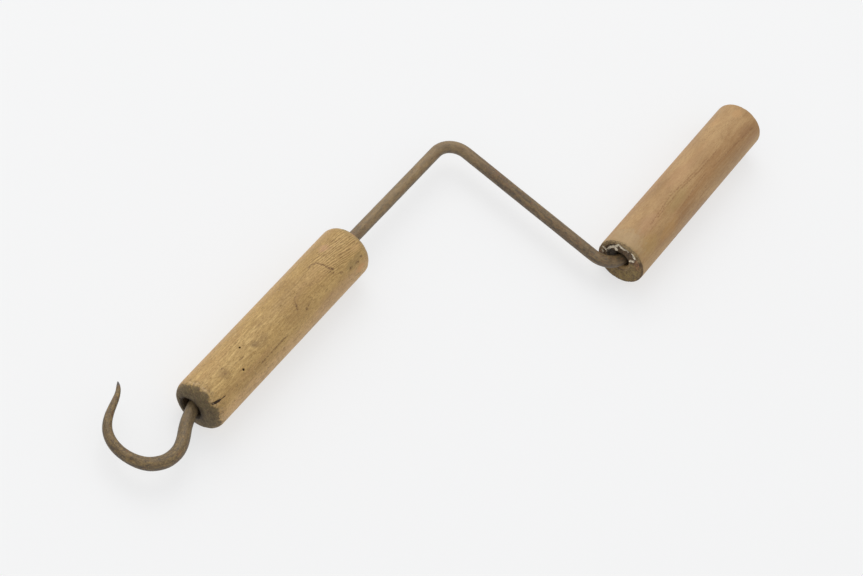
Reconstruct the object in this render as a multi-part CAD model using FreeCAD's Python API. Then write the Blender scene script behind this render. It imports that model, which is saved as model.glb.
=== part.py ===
import FreeCAD, Part
import os
import math
from FreeCAD import Vector as V, Matrix, Placement

# Hand-cranked rope twister.
# One round iron bar is forged into a hook, a straight spindle, a crank arm and a
# crank pin.  A thick wooden sleeve (the bearing handle) is held in one hand and
# stays still while the spindle turns inside it.  A second wooden sleeve (the
# crank grip) is held in the other hand, swings round with the arm and spins on
# the pin.  The grip is kept on by a washer and the upset end of the bar.
#
# Working frame while building: the corner where the spindle axis meets the arm
# axis is (0, 0, 0).  +X runs along the spindle from the hook to the corner, the
# arm goes towards -Y and the bar lies in the plane Z = 0.  At the end everything
# is shifted so that the origin is at the middle of the underside: the tool lies
# flat on a bench, on its two wooden sleeves.

# ---------------------------------------------------------------- dimensions
ROD_D = 9.2                  # bar diameter on the spindle, arm and pin
ROD_R = ROD_D / 2.0

# crank shape (centre line)
ELBOW_1_R = 17.0             # bend between spindle and arm
ELBOW_2_R = 18.5             # bend between arm and pin
ARM_END = (1.32, -153.15)    # corner where the arm axis meets the pin axis
THROW = -ARM_END[1]          # distance between the spindle and pin axes

# hook (centre line x, y and bar diameter), from the spindle to the point
HOOK_START_X = -280.0
HOOK = [
    (-285.7,   0.0, 9.20),
    (-291.4,  -0.3, 9.22),
    (-297.0,  -1.0, 9.26),
    (-302.4,  -2.2, 9.30),
    (-307.9,  -3.9, 9.34),
    (-313.2,  -5.9, 9.38),
    (-318.2,  -8.4, 9.42),
    (-323.0, -11.2, 9.48),
    (-328.1, -13.5, 9.60),
    (-333.6, -14.8, 9.75),
    (-339.2, -14.7, 9.88),
    (-344.7, -13.3, 9.92),
    (-349.6, -10.5, 9.80),
    (-353.8,  -6.7, 9.52),
    (-356.8,  -2.0, 9.06),
    (-358.8,   3.3, 8.56),
    (-359.9,   8.9, 8.20),
    (-360.0,  14.5, 7.96),
    (-358.9,  20.1, 7.68),
    (-356.6,  25.2, 7.30),
    (-353.0,  29.6, 6.84),
    (-348.4,  32.9, 6.32),
    (-343.4,  35.3, 5.78),
    (-338.1,  37.2, 5.20),
    (-332.7,  39.1, 4.54),
    (-327.6,  41.6, 3.50),
    (-323.6,  45.0, 1.80),
    (-322.6,  46.1, 0.70),
]

# bearing handle: a turned sleeve, drilled a little off centre and not quite
# parallel to the spindle
BH_X0 = -303.1               # end face on the hook side
BH_X1 = -125.6               # end face on the elbow side
BH_R0 = 19.60                # outside radius at the hook side
BH_R1 = 19.80                # outside radius at the elbow side
BH_OFF_Y0 = -4.28            # outside axis against the bore axis, hook side
BH_OFF_Y1 = -2.73            # the same, elbow side
BH_OFF_Z = 0.80              # the outside axis lies this much above the bore
BH_ROUND0 = 7.5              # worn edge, hook side
BH_ROUND1 = 8.3              # worn edge, elbow side
BH_BORE_R = 5.25
BH_FUNNEL_R = 8.4            # mouth worn open by the hook's neck
BH_FUNNEL_L = 18.0
BH_MOUTH1_R = 5.9            # slight wear at the elbow side
BH_MOUTH1_L = 5.0

# crank grip: a plain sleeve, drilled true
CG_X0 = 11.25                # end face towards the arm
CG_X1 = 184.85               # free end face
CG_R = 19.0
CG_ROUND0 = 1.0
CG_ROUND1 = 3.0
CG_BORE_R = 5.2
CG_MOUTH_R = 8.1             # worn open where the bend of the bar enters
CG_MOUTH_L = 8.0
CG_MOUTH_CONE = 6.5          # length over which the mouth narrows to the bore

# what keeps the grip on
END_PLAY = 0.5               # gap between the grip and the washer
WASHER_R = 11.0
WASHER_T = 1.8
WASHER_BORE_R = 4.65
HEAD_R = 7.5                 # upset end of the bar
HEAD_H = 3.8

# where the frame's origin goes (middle of the underside of the whole tool)
SHIFT = V(86.58, 62.92, 19.0)

# ------------------------------------------------------------------- helpers


def revolve(profile, axis_y, axis_z):
    """Solid of revolution about a line parallel to X.  profile is a list of
    edges drawn in the plane Z = 0 with r along +Y."""
    wire = Part.Wire(profile)
    face = Part.Face(wire)
    solid = face.revolve(V(0, 0, 0), V(1, 0, 0), 360.0)
    if not isinstance(solid, Part.Solid):
        solid = Part.Solid(Part.Shell(solid.Faces))
    if solid.Volume < 0:
        solid.reverse()
    solid.translate(V(0, axis_y, axis_z))
    return solid


def line(a, b):
    return Part.LineSegment(V(a[0], a[1], 0), V(b[0], b[1], 0)).toShape()


def arc(a, m, b):
    return Part.Arc(V(a[0], a[1], 0), V(m[0], m[1], 0), V(b[0], b[1], 0)).toShape()


def corner(cx, cy, r, a0, a1):
    """Quarter round of radius r about (cx, cy) from angle a0 to a1 (degrees)."""
    p = [(cx + r * math.cos(math.radians(t)), cy + r * math.sin(math.radians(t)))
         for t in (a0, (a0 + a1) / 2.0, a1)]
    return arc(*p)


def circle_at(p, t, r):
    """Circle of radius r round the point p, square to the direction t, with its
    start point always on the same side of the bar's plane."""
    t = V(t.x, t.y, 0)
    t.normalize()
    u = V(0, 0, 1)
    w = t.cross(u)
    m = Matrix(u.x, w.x, t.x, p.x,
               u.y, w.y, t.y, p.y,
               u.z, w.z, t.z, p.z,
               0, 0, 0, 1)
    c = Part.makeCircle(r)
    c.Placement = Placement(m)
    return Part.Wire([c])


# ----------------------------------------------------------------- crank rod
def bend(p, q, s, r):
    """Start, middle and end of the arc of radius r that rounds the corner q
    between the runs p-q and q-s."""
    a = (p - q)
    a.normalize()
    b = (s - q)
    b.normalize()
    half = a.getAngle(b) / 2.0
    d = r / math.tan(half)
    bis = a + b
    bis.normalize()
    c = q + bis * (r / math.sin(half))
    return q + a * d, c - bis * r, q + b * d


pin_end_x = CG_X1 + END_PLAY + WASHER_T
P0 = V(HOOK_START_X, 0, 0)
P1 = V(0, 0, 0)
P2 = V(ARM_END[0], ARM_END[1], 0)
P3 = V(pin_end_x, ARM_END[1], 0)
a1, m1, b1 = bend(P0, P1, P2, ELBOW_1_R)
a2, m2, b2 = bend(P1, P2, P3, ELBOW_2_R)
path = Part.Wire([
    Part.LineSegment(P0, a1).toShape(),
    Part.Arc(a1, m1, b1).toShape(),
    Part.LineSegment(b1, a2).toShape(),
    Part.Arc(a2, m2, b2).toShape(),
    Part.LineSegment(b2, P3).toShape(),
])
bar = path.makePipeShell([circle_at(P0, V(1, 0, 0), ROD_R)], True, False)
expected = math.pi * ROD_R ** 2 * path.Length
print("bar volume / section x length: %.4f" % (abs(bar.Volume) / expected))

# the hook is a lofted continuation of the spindle, tapering to a point
stations = [(HOOK_START_X, 0.0, ROD_D)] + HOOK
curve = Part.BSplineCurve()
curve.interpolate(Points=[V(x, y, 0) for x, y, d in stations],
                  InitialTangent=V(-1, 0, 0), FinalTangent=V(0.62, 0.78, 0))
wires = []
for i, (x, y, d) in enumerate(stations):
    t = curve.tangent(curve.parameter(V(x, y, 0)))[0]
    if i == 0:
        t = V(-1, 0, 0)
    wires.append(circle_at(V(x, y, 0), t, d / 2.0))
hook = Part.makeLoft(wires, True, False, False)
if hook.Volume < 0:
    hook.reverse()

# upset end of the bar, a low dome that bears on the washer
ball = (HEAD_R ** 2 + HEAD_H ** 2) / (2.0 * HEAD_H)
hx = pin_end_x
mid_r = HEAD_R * 0.62
mid_x = hx + HEAD_H - ball + math.sqrt(ball ** 2 - mid_r ** 2)
head = revolve([
    line((hx, 0), (hx, HEAD_R)),
    arc((hx, HEAD_R), (mid_x, mid_r), (hx + HEAD_H, 0)),
    line((hx + HEAD_H, 0), (hx, 0)),
], ARM_END[1], 0)

crank_rod = bar.fuse([hook, head]).removeSplitter()

# ------------------------------------------------------------ bearing handle
# outside: profile along its own axis, then tipped to the slight angle of the
# drilling
bh_len = BH_X1 - BH_X0
bh_mid = (BH_X0 + BH_X1) / 2.0
outer = revolve([
    line((BH_X0, 0), (BH_X0, BH_R0 - BH_ROUND0)),
    corner(BH_X0 + BH_ROUND0, BH_R0 - BH_ROUND0, BH_ROUND0, 180, 90),
    line((BH_X0 + BH_ROUND0, BH_R0), (BH_X1 - BH_ROUND1, BH_R1)),
    corner(BH_X1 - BH_ROUND1, BH_R1 - BH_ROUND1, BH_ROUND1, 90, 0),
    line((BH_X1, BH_R1 - BH_ROUND1), (BH_X1, 0)),
    line((BH_X1, 0), (BH_X0, 0)),
], 0, 0)
tip = math.degrees(math.atan2(BH_OFF_Y1 - BH_OFF_Y0, bh_len))
outer.rotate(V(bh_mid, 0, 0), V(0, 0, 1), tip)
outer.translate(V(0, (BH_OFF_Y0 + BH_OFF_Y1) / 2.0, BH_OFF_Z))

# bore: straight hole on the spindle axis with both mouths worn open
bore = revolve([
    line((BH_X0 - 3, 0), (BH_X0 - 3, BH_FUNNEL_R + 0.5)),
    line((BH_X0 - 3, BH_FUNNEL_R + 0.5), (BH_X0 + BH_FUNNEL_L, BH_BORE_R)),
    line((BH_X0 + BH_FUNNEL_L, BH_BORE_R), (BH_X1 - BH_MOUTH1_L, BH_BORE_R)),
    line((BH_X1 - BH_MOUTH1_L, BH_BORE_R), (BH_X1 + 3, BH_MOUTH1_R)),
    line((BH_X1 + 3, BH_MOUTH1_R), (BH_X1 + 3, 0)),
    line((BH_X1 + 3, 0), (BH_X0 - 3, 0)),
], 0, 0)
bearing_handle = outer.cut(bore)

# ---------------------------------------------------------------- crank grip
grip = revolve([
    line((CG_X0, 0), (CG_X0, CG_R - CG_ROUND0)),
    corner(CG_X0 + CG_ROUND0, CG_R - CG_ROUND0, CG_ROUND0, 180, 90),
    line((CG_X0 + CG_ROUND0, CG_R), (CG_X1 - CG_ROUND1, CG_R)),
    corner(CG_X1 - CG_ROUND1, CG_R - CG_ROUND1, CG_ROUND1, 90, 0),
    line((CG_X1, CG_R - CG_ROUND1), (CG_X1, 0)),
    line((CG_X1, 0), (CG_X0, 0)),
], ARM_END[1], 0)
grip_bore = revolve([
    line((CG_X0 - 3, 0), (CG_X0 - 3, CG_MOUTH_R)),
    line((CG_X0 - 3, CG_MOUTH_R), (CG_X0 + CG_MOUTH_L - CG_MOUTH_CONE, CG_MOUTH_R)),
    line((CG_X0 + CG_MOUTH_L - CG_MOUTH_CONE, CG_MOUTH_R), (CG_X0 + CG_MOUTH_L, CG_BORE_R)),
    line((CG_X0 + CG_MOUTH_L, CG_BORE_R), (CG_X1 + 3, CG_BORE_R)),
    line((CG_X1 + 3, CG_BORE_R), (CG_X1 + 3, 0)),
    line((CG_X1 + 3, 0), (CG_X0 - 3, 0)),
], ARM_END[1], 0)
crank_grip = grip.cut(grip_bore)

# -------------------------------------------------------------------- washer
wx0 = CG_X1 + END_PLAY
wx1 = wx0 + WASHER_T
ch = 0.3
grip_washer = revolve([
    line((wx0, WASHER_BORE_R), (wx0, WASHER_R - ch)),
    line((wx0, WASHER_R - ch), (wx0 + ch, WASHER_R)),
    line((wx0 + ch, WASHER_R), (wx1 - ch, WASHER_R)),
    line((wx1 - ch, WASHER_R), (wx1, WASHER_R - ch)),
    line((wx1, WASHER_R - ch), (wx1, WASHER_BORE_R)),
    line((wx1, WASHER_BORE_R), (wx0, WASHER_BORE_R)),
], ARM_END[1], 0)

# -------------------------------------------------------------------- output
nodes = {
    "crank_rod": crank_rod,
    "bearing_handle": bearing_handle,
    "crank_grip": crank_grip,
    "grip_washer": grip_washer,
}

os.makedirs("parts", exist_ok=True)
box = None
for name, shape in nodes.items():
    solids = shape.Solids
    assert len(solids) == 1, (name, len(solids))
    solid = solids[0]
    assert solid.isValid() and solid.isClosed(), name
    solid.translate(SHIFT)
    nodes[name] = solid
    b = solid.optimalBoundingBox(False)
    print("%-15s volume %9.1f mm3  x %8.2f %8.2f  y %8.2f %8.2f  z %6.2f %6.2f"
          % (name, solid.Volume, b.XMin, b.XMax, b.YMin, b.YMax, b.ZMin, b.ZMax))
    if box is None:
        box = b
    else:
        box.add(b)
    solid.exportStep("parts/%s.step" % name)

print("whole tool: x %.3f %.3f  y %.3f %.3f  z %.3f %.3f"
      % (box.XMin, box.XMax, box.YMin, box.YMax, box.ZMin, box.ZMax))
print("centre off the origin by x %.3f, y %.3f"
      % ((box.XMin + box.XMax) / 2.0, (box.YMin + box.YMax) / 2.0))
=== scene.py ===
import bpy
import math
import numpy as np
from mathutils import Matrix, Vector


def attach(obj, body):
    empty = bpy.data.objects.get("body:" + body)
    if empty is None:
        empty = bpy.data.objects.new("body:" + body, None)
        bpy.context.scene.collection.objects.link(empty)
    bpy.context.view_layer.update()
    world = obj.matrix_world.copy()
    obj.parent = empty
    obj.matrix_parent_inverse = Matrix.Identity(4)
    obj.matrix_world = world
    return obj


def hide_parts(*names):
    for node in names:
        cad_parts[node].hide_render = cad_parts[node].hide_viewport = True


# Hand-cranked rope twister: one forged iron bar with a hook, turning in a thick
# wooden sleeve, with a second wooden sleeve on the crank pin.  All the shapes
# below are worked out in millimetres in the tool's own working frame (corner of
# spindle and arm at 0, 0, 0) and shifted into the shared frame at the end.

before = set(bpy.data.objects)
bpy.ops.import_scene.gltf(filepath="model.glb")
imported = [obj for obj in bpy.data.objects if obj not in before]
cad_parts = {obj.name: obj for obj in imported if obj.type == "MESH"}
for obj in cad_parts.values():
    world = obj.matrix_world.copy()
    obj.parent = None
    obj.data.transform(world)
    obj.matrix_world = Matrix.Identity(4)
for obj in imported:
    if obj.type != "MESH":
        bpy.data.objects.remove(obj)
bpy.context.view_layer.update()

SHIFT = np.array([86.58, 62.92, 19.0])
MM = 0.001

# --------------------------------------------------------------------- numbers
ROD_R = 4.6
ELBOW_1_R, ELBOW_2_R = 17.0, 18.5
ARM_END = (1.32, -153.15)
HOOK = [
    (-280.0,   0.0, 9.20), (-285.7,   0.0, 9.20), (-291.4,  -0.3, 9.22), (-297.0,  -1.0, 9.26),
    (-302.4,  -2.2, 9.30), (-307.9,  -3.9, 9.34), (-313.2,  -5.9, 9.38), (-318.2,  -8.4, 9.42),
    (-323.0, -11.2, 9.48), (-328.1, -13.5, 9.60), (-333.6, -14.8, 9.75), (-339.2, -14.7, 9.88),
    (-344.7, -13.3, 9.92), (-349.6, -10.5, 9.80), (-353.8,  -6.7, 9.52), (-356.8,  -2.0, 9.06),
    (-358.8,   3.3, 8.56), (-359.9,   8.9, 8.20), (-360.0,  14.5, 7.96), (-358.9,  20.1, 7.68),
    (-356.6,  25.2, 7.30), (-353.0,  29.6, 6.84), (-348.4,  32.9, 6.32), (-343.4,  35.3, 5.78),
    (-338.1,  37.2, 5.20), (-332.7,  39.1, 4.54), (-327.6,  41.6, 3.50), (-323.6,  45.0, 1.80),
    (-322.6,  46.1, 0.70),
]
BH_X0, BH_X1 = -303.1, -125.6
BH_R0, BH_R1 = 19.60, 19.80
BH_OFF_Y0, BH_OFF_Y1, BH_OFF_Z = -4.28, -2.73, 0.80
BH_ROUND0, BH_ROUND1 = 7.5, 8.3
BH_BORE_R, BH_FUNNEL_R, BH_FUNNEL_L = 5.25, 8.4, 18.0
BH_MOUTH1_R = 5.9
CG_X0, CG_X1, CG_R = 11.25, 184.85, 19.0
CG_ROUND0, CG_ROUND1 = 1.0, 3.0
CG_BORE_R, CG_MOUTH_R, CG_MOUTH_L = 5.2, 8.1, 8.0
END_PLAY, WASHER_R, WASHER_T, WASHER_BORE_R = 0.5, 11.0, 1.8, 4.65
HEAD_R, HEAD_H = 7.5, 3.8
PIN_END = CG_X1 + END_PLAY + WASHER_T


# ----------------------------------------------------------------------- noise
def _lattice(ix, iy, iz, seed):
    m = np.uint64(0xFFFFFFFF)
    h = (ix.astype(np.int64).astype(np.uint64) * np.uint64(0x8DA6B343)) & m
    h ^= (iy.astype(np.int64).astype(np.uint64) * np.uint64(0xD8163841)) & m
    h ^= (iz.astype(np.int64).astype(np.uint64) * np.uint64(0xCB1AB31F)) & m
    h ^= np.uint64((seed * 0x9E3779B1) & 0xFFFFFFFF)
    h ^= h >> np.uint64(16)
    h = (h * np.uint64(0x7FEB352D)) & m
    h ^= h >> np.uint64(15)
    h = (h * np.uint64(0x846CA68B)) & m
    h ^= h >> np.uint64(16)
    return h


def noise3(p, seed=1):
    """Smooth gradient noise, about -1..1, at the points p (n, 3)."""
    p = np.asarray(p, float)
    i = np.floor(p)
    f = p - i
    u = f * f * f * (f * (f * 6 - 15) + 10)
    out = np.zeros(len(p))
    for dx in (0, 1):
        for dy in (0, 1):
            for dz in (0, 1):
                h = _lattice(i[:, 0] + dx, i[:, 1] + dy, i[:, 2] + dz, seed)
                gx = (h & np.uint64(1023)).astype(float) / 511.5 - 1
                gy = ((h >> np.uint64(10)) & np.uint64(1023)).astype(float) / 511.5 - 1
                gz = ((h >> np.uint64(20)) & np.uint64(1023)).astype(float) / 511.5 - 1
                d = gx * (f[:, 0] - dx) + gy * (f[:, 1] - dy) + gz * (f[:, 2] - dz)
                w = (u[:, 0] if dx else 1 - u[:, 0]) * (u[:, 1] if dy else 1 - u[:, 1]) * (u[:, 2] if dz else 1 - u[:, 2])
                out += w * d
    return out * 1.35


def fbm(p, octaves=3, seed=1, gain=0.5):
    p = np.asarray(p, float)
    total, amp, norm = np.zeros(len(p)), 1.0, 0.0
    for o in range(octaves):
        total += amp * noise3(p * 2.0 ** o + 17.3 * o, seed + 31 * o)
        norm += amp
        amp *= gain
    return total / norm


def smooth(a, b, x):
    t = np.clip((x - a) / (b - a), 0, 1)
    return t * t * (3 - 2 * t)


# ----------------------------------------------------------------- mesh output
def grid_object(name, P, close_rings, attributes=None, caps=None):
    """P is rings x around x 3 in working millimetres.  Around always closes;
    close_rings joins the last ring to the first; caps gives two pole points."""
    n, m = P.shape[:2]
    verts = P.reshape(-1, 3)
    if caps is not None:
        verts = np.vstack([verts, caps])
    i = np.arange(n if close_rings else n - 1)[:, None]
    j = np.arange(m)[None, :]
    a = i * m + j
    b = i * m + (j + 1) % m
    c = ((i + 1) % n) * m + (j + 1) % m
    d = ((i + 1) % n) * m + j
    quads = np.stack([a, b, c, d], -1).reshape(-1, 4)
    faces = [tuple(q) for q in quads.tolist()]
    if caps is not None:
        top, bottom = n * m, n * m + 1
        faces += [(top, (k + 1) % m, k) for k in range(m)]
        faces += [(bottom, (n - 1) * m + k, (n - 1) * m + (k + 1) % m) for k in range(m)]
    mesh = bpy.data.meshes.new(name)
    mesh.from_pydata(((verts + SHIFT) * MM).tolist(), [], faces)
    # volume sign decides which way the faces look
    tri = np.array([(f[0], f[1], f[2]) for f in faces] + [(f[0], f[2], f[3]) for f in faces if len(f) == 4])
    v = verts - verts.mean(0)
    vol = np.einsum("ij,ij->i", v[tri[:, 0]], np.cross(v[tri[:, 1]], v[tri[:, 2]])).sum()
    if vol < 0:
        mesh.flip_normals()
    for key, values in (attributes or {}).items():
        at = mesh.attributes.new(key, "FLOAT", "POINT")
        vals = np.asarray(values, np.float32).reshape(-1)
        if caps is not None:
            vals = np.concatenate([vals, [vals[0], vals[-1]]]).astype(np.float32)
        at.data.foreach_set("value", vals)
    mesh.polygons.foreach_set("use_smooth", [True] * len(mesh.polygons))
    mesh.validate()
    mesh.update()
    ob = bpy.data.objects.new(name, mesh)
    bpy.context.scene.collection.objects.link(ob)
    return ob


def lines(spans):
    """Sorted positions from (start, end, step) spans; finer spans win."""
    marks = sorted({round(v, 4) for s in spans for v in s[:2]})
    out = []
    for a, b in zip(marks[:-1], marks[1:]):
        mid = (a + b) / 2
        step = min(s[2] for s in spans if s[0] <= mid <= s[1])
        k = max(1, int(math.ceil((b - a) / step - 1e-6)))
        out += [a + (b - a) * t / k for t in range(k)]
    out.append(marks[-1])
    return np.array(out)


def seg_distance(P, a, b):
    """Distance from points to the segment a-b, and how far along it (0..1)."""
    a, b = np.asarray(a, float), np.asarray(b, float)
    ab = b - a
    t = np.clip(((P - a) @ ab) / (ab @ ab), 0, 1)
    return np.linalg.norm(P - (a + t[..., None] * ab), axis=-1), t


# ------------------------------------------------------------------- iron bar
def bar_path():
    """Centre line points, radii and in-plane directions, point to pin end."""
    hk = np.array(HOOK)
    s = np.r_[0, np.cumsum(np.linalg.norm(np.diff(hk[:, :2], axis=0), axis=1))]
    # natural cubic spline through the hook stations, straight where it starts
    def spline(y, slope0):
        n = len(s)
        h = np.diff(s)
        A = np.zeros((n, n))
        r = np.zeros(n)
        A[0, 0], A[0, 1] = 2 * h[0], h[0]
        r[0] = 6 * ((y[1] - y[0]) / h[0] - slope0)
        A[-1, -1] = 1
        for k in range(1, n - 1):
            A[k, k - 1], A[k, k], A[k, k + 1] = h[k - 1], 2 * (h[k - 1] + h[k]), h[k]
            r[k] = 6 * ((y[k + 1] - y[k]) / h[k] - (y[k] - y[k - 1]) / h[k - 1])
        m2 = np.linalg.solve(A, r)

        def f(t):
            k = np.clip(np.searchsorted(s, t) - 1, 0, n - 2)
            dt, hk_ = t - s[k], h[k]
            return (y[k] + dt * ((y[k + 1] - y[k]) / hk_ - hk_ * (2 * m2[k] + m2[k + 1]) / 6)
                    + dt ** 2 * m2[k] / 2 + dt ** 3 * (m2[k + 1] - m2[k]) / (6 * hk_))
        return f
    fx, fy, fd = spline(hk[:, 0], -1.0), spline(hk[:, 1], 0.0), spline(hk[:, 2], 0.0)
    t = np.unique(np.r_[np.arange(0, s[-1], 0.8), np.arange(s[-1] - 6, s[-1], 0.25), s[-1]])
    hook = np.c_[fx(t), fy(t)]
    pts = [np.c_[hook, fd(t) / 2][::-1]]

    def add_line(a, b, step=1.0):
        n = max(2, int(np.linalg.norm(np.subtract(b, a)) / step))
        q = np.array([np.add(a, np.subtract(b, a) * k / n) for k in range(1, n + 1)])
        pts.append(np.c_[q, np.full(len(q), ROD_R)])

    def add_bend(p, q, r_, rad, step=0.8):
        p, q, r_ = map(np.array, (p, q, r_))
        a = (p - q) / np.linalg.norm(p - q)
        b = (r_ - q) / np.linalg.norm(r_ - q)
        half = math.acos(np.clip(a @ b, -1, 1)) / 2
        d = rad / math.tan(half)
        bis = (a + b) / np.linalg.norm(a + b)
        c = q + bis * rad / math.sin(half)
        s0, s1 = q + a * d, q + b * d
        add_line(pts[-1][-1, :2], s0)
        a0 = math.atan2(*(s0 - c)[::-1])
        a1 = math.atan2(*(s1 - c)[::-1])
        da = (a1 - a0 + math.pi) % (2 * math.pi) - math.pi
        n = int(abs(da) * rad / step)
        ang = a0 + da * np.arange(1, n + 1) / n
        q_ = np.c_[c[0] + rad * np.cos(ang), c[1] + rad * np.sin(ang)]
        pts.append(np.c_[q_, np.full(n, ROD_R)])

    E, F, G = (0.0, 0.0), ARM_END, (PIN_END, ARM_END[1])
    add_bend((-280.0, 0.0), E, F, ELBOW_1_R)
    add_bend(E, F, G, ELBOW_2_R)
    add_line(pts[-1][-1, :2], (PIN_END - 0.01, ARM_END[1]))
    return np.vstack(pts)


def make_bar():
    path = bar_path()
    C, R = path[:, :2], path[:, 2].copy()
    s = np.r_[0, np.cumsum(np.linalg.norm(np.diff(C, axis=0), axis=1))]
    T = np.gradient(C, s, axis=0)
    T /= np.linalg.norm(T, axis=1)[:, None]
    N = np.c_[-T[:, 1], T[:, 0]]
    m = 56
    phi = 2 * np.pi * np.arange(m) / m
    cs, sn = np.cos(phi), np.sin(phi)

    def ring(c, n, r):
        return np.stack([c[0] + r * cs * n[0], c[1] + r * cs * n[1], r * sn], -1)

    P = np.stack([ring(C[k], N[k], R[k]) for k in range(len(C))])
    # direction outwards from the centre line
    D = np.stack([np.stack([cs * N[k, 0], cs * N[k, 1], sn], -1) for k in range(len(C))])
    flat = P.reshape(-1, 3)
    S_ = np.repeat(s, m)
    ang = np.tile(phi, len(C))
    R_ = np.repeat(R, m)
    # slow swelling and thinning of a hand-drawn bar, faint hammer flats, scale and pits
    q = np.c_[S_ / 26.0, np.cos(ang) * 0.55, np.sin(ang) * 0.55]
    slow = fbm(q, 2, 5)
    flats = fbm(np.c_[S_ / 9.0, np.cos(ang) * 1.3, np.sin(ang) * 1.3], 2, 9)
    scale = fbm(flat / 2.2, 3, 21)
    pits = np.clip(fbm(flat / 1.15, 2, 33) - 0.30, 0, None)
    grain = fbm(np.c_[S_ / 14.0, np.cos(ang) * 4.5 * R_ / 4.6, np.sin(ang) * 4.5 * R_ / 4.6], 2, 41)
    thin = np.clip(R_ / 4.6, 0.12, 1.0)
    h = thin * (-0.10 + 0.085 * slow + 0.075 * flats + 0.050 * scale + 0.035 * grain - 0.30 * pits)
    h = np.minimum(h, np.where(S_ < 2.5, -0.04, -0.002))
    P = P + D * h.reshape(len(C), m, 1)
    cavity = np.clip(-(0.050 * scale + 0.035 * grain - 0.30 * pits) / 0.10, 0, 1)
    # upset end of the pin: a hammered dome on the washer
    ball = (HEAD_R ** 2 + HEAD_H ** 2) / (2 * HEAD_H)
    a_max = math.asin(HEAD_R / ball)
    c0 = np.array([PIN_END, ARM_END[1], 0.0])
    n0 = N[-1]
    rings, att = [], []
    steps = [(0.02, ROD_R)] + [(0.02, r) for r in (5.2, 6.0, 6.7)]
    for k in range(0, 15):
        a = a_max * (1 - k / 15.0)
        steps.append((HEAD_H - ball + ball * math.cos(a) + 0.02, ball * math.sin(a)))
    for k, (dx, r) in enumerate(steps):
        rr = np.stack([np.full(m, c0[0] + dx), c0[1] + r * cs * n0[1], r * sn], -1)
        if k >= 4:
            g = noise3(rr / 3.4, 77) * 0.22 - 0.18 + 0.08 * noise3(rr / 1.3, 78)
            out = np.stack([np.full(m, 0.6), 0.8 * cs * n0[1], 0.8 * sn], -1)
            edge = 1.0 if k > 5 else 0.55
            rr = rr + out * np.minimum(g, 0.0)[:, None] * edge
            rr[:, 0] = np.maximum(rr[:, 0], c0[0] + 0.02)
            if k in (4, 5):  # burred rim
                rr[:, 0] += 0.25 + 0.2 * noise3(rr / 2.6, 81) if k == 5 else 0.0
        rings.append(rr)
        att.append(np.zeros(m))
    P = np.concatenate([P, np.stack(rings)])
    cavity = np.concatenate([cavity.reshape(len(C), m), np.stack(att)])
    tip = np.r_[C[0] - T[0] * 0.06, 0.0]
    end = np.array([PIN_END + HEAD_H - 0.16, ARM_END[1], 0.0])
    # length from the point along the bar, and the place round it, so that the
    # drawn and hammered streaks can follow the bar through its bends
    along = np.concatenate([np.repeat(s, m).reshape(len(C), m), np.full((len(rings), m), s[-1])])
    ru = np.concatenate([R[:, None] * cs[None], np.full((len(rings), m), 0.0) + 6.0 * cs[None]])
    rv = np.concatenate([R[:, None] * sn[None], np.full((len(rings), m), 0.0) + 6.0 * sn[None]])
    # old grease and dirt on the parts that run inside the two sleeves, and painted shade on the bar just outside each
    # sleeve's mouth, reaching further out on one side at the hook end
    X, Y = P[:, :, 0], P[:, :, 1]
    far = np.concatenate([np.repeat(cs[None], len(C), 0), np.zeros((len(rings), m))]) * 3.0
    grease_and_mouth_shade = np.maximum(smooth(BH_X0 - 0.5 + far, BH_X0 + 5.5 + far, X) * smooth(BH_X1 - 1.0, BH_X1 - 6.0, X) * (Y > -60),
                        smooth(CG_X0 - 1.0, CG_X0 + 5.5, X) * (Y < -100) * smooth(CG_X1 + 1.5, CG_X1 - 2.0, X))
    # painted shade: the in-plane sides of the bar are marked for darkening, the top and underside are not
    side_shade = np.abs(np.concatenate([np.repeat(cs[None], len(C), 0), np.zeros((len(rings), m))]))
    return grid_object("forged_bar", P, False, {"cavity": cavity, "along": along * MM, "ru": ru * MM, "rv": rv * MM,
                                                "grease_and_mouth_shade": grease_and_mouth_shade, "side_shade": side_shade},
                       np.stack([tip, end]))


# --------------------------------------------------------------- wood sleeves
def arc_pts(cx, cr, rad, a0, a1, n, power=1.0):
    out = []
    for k in range(1, n + 1):
        a = math.radians(a0 + (a1 - a0) * k / n)
        out.append((cx + rad * math.cos(a), cr + rad * math.sin(a)))
    return out


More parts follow.
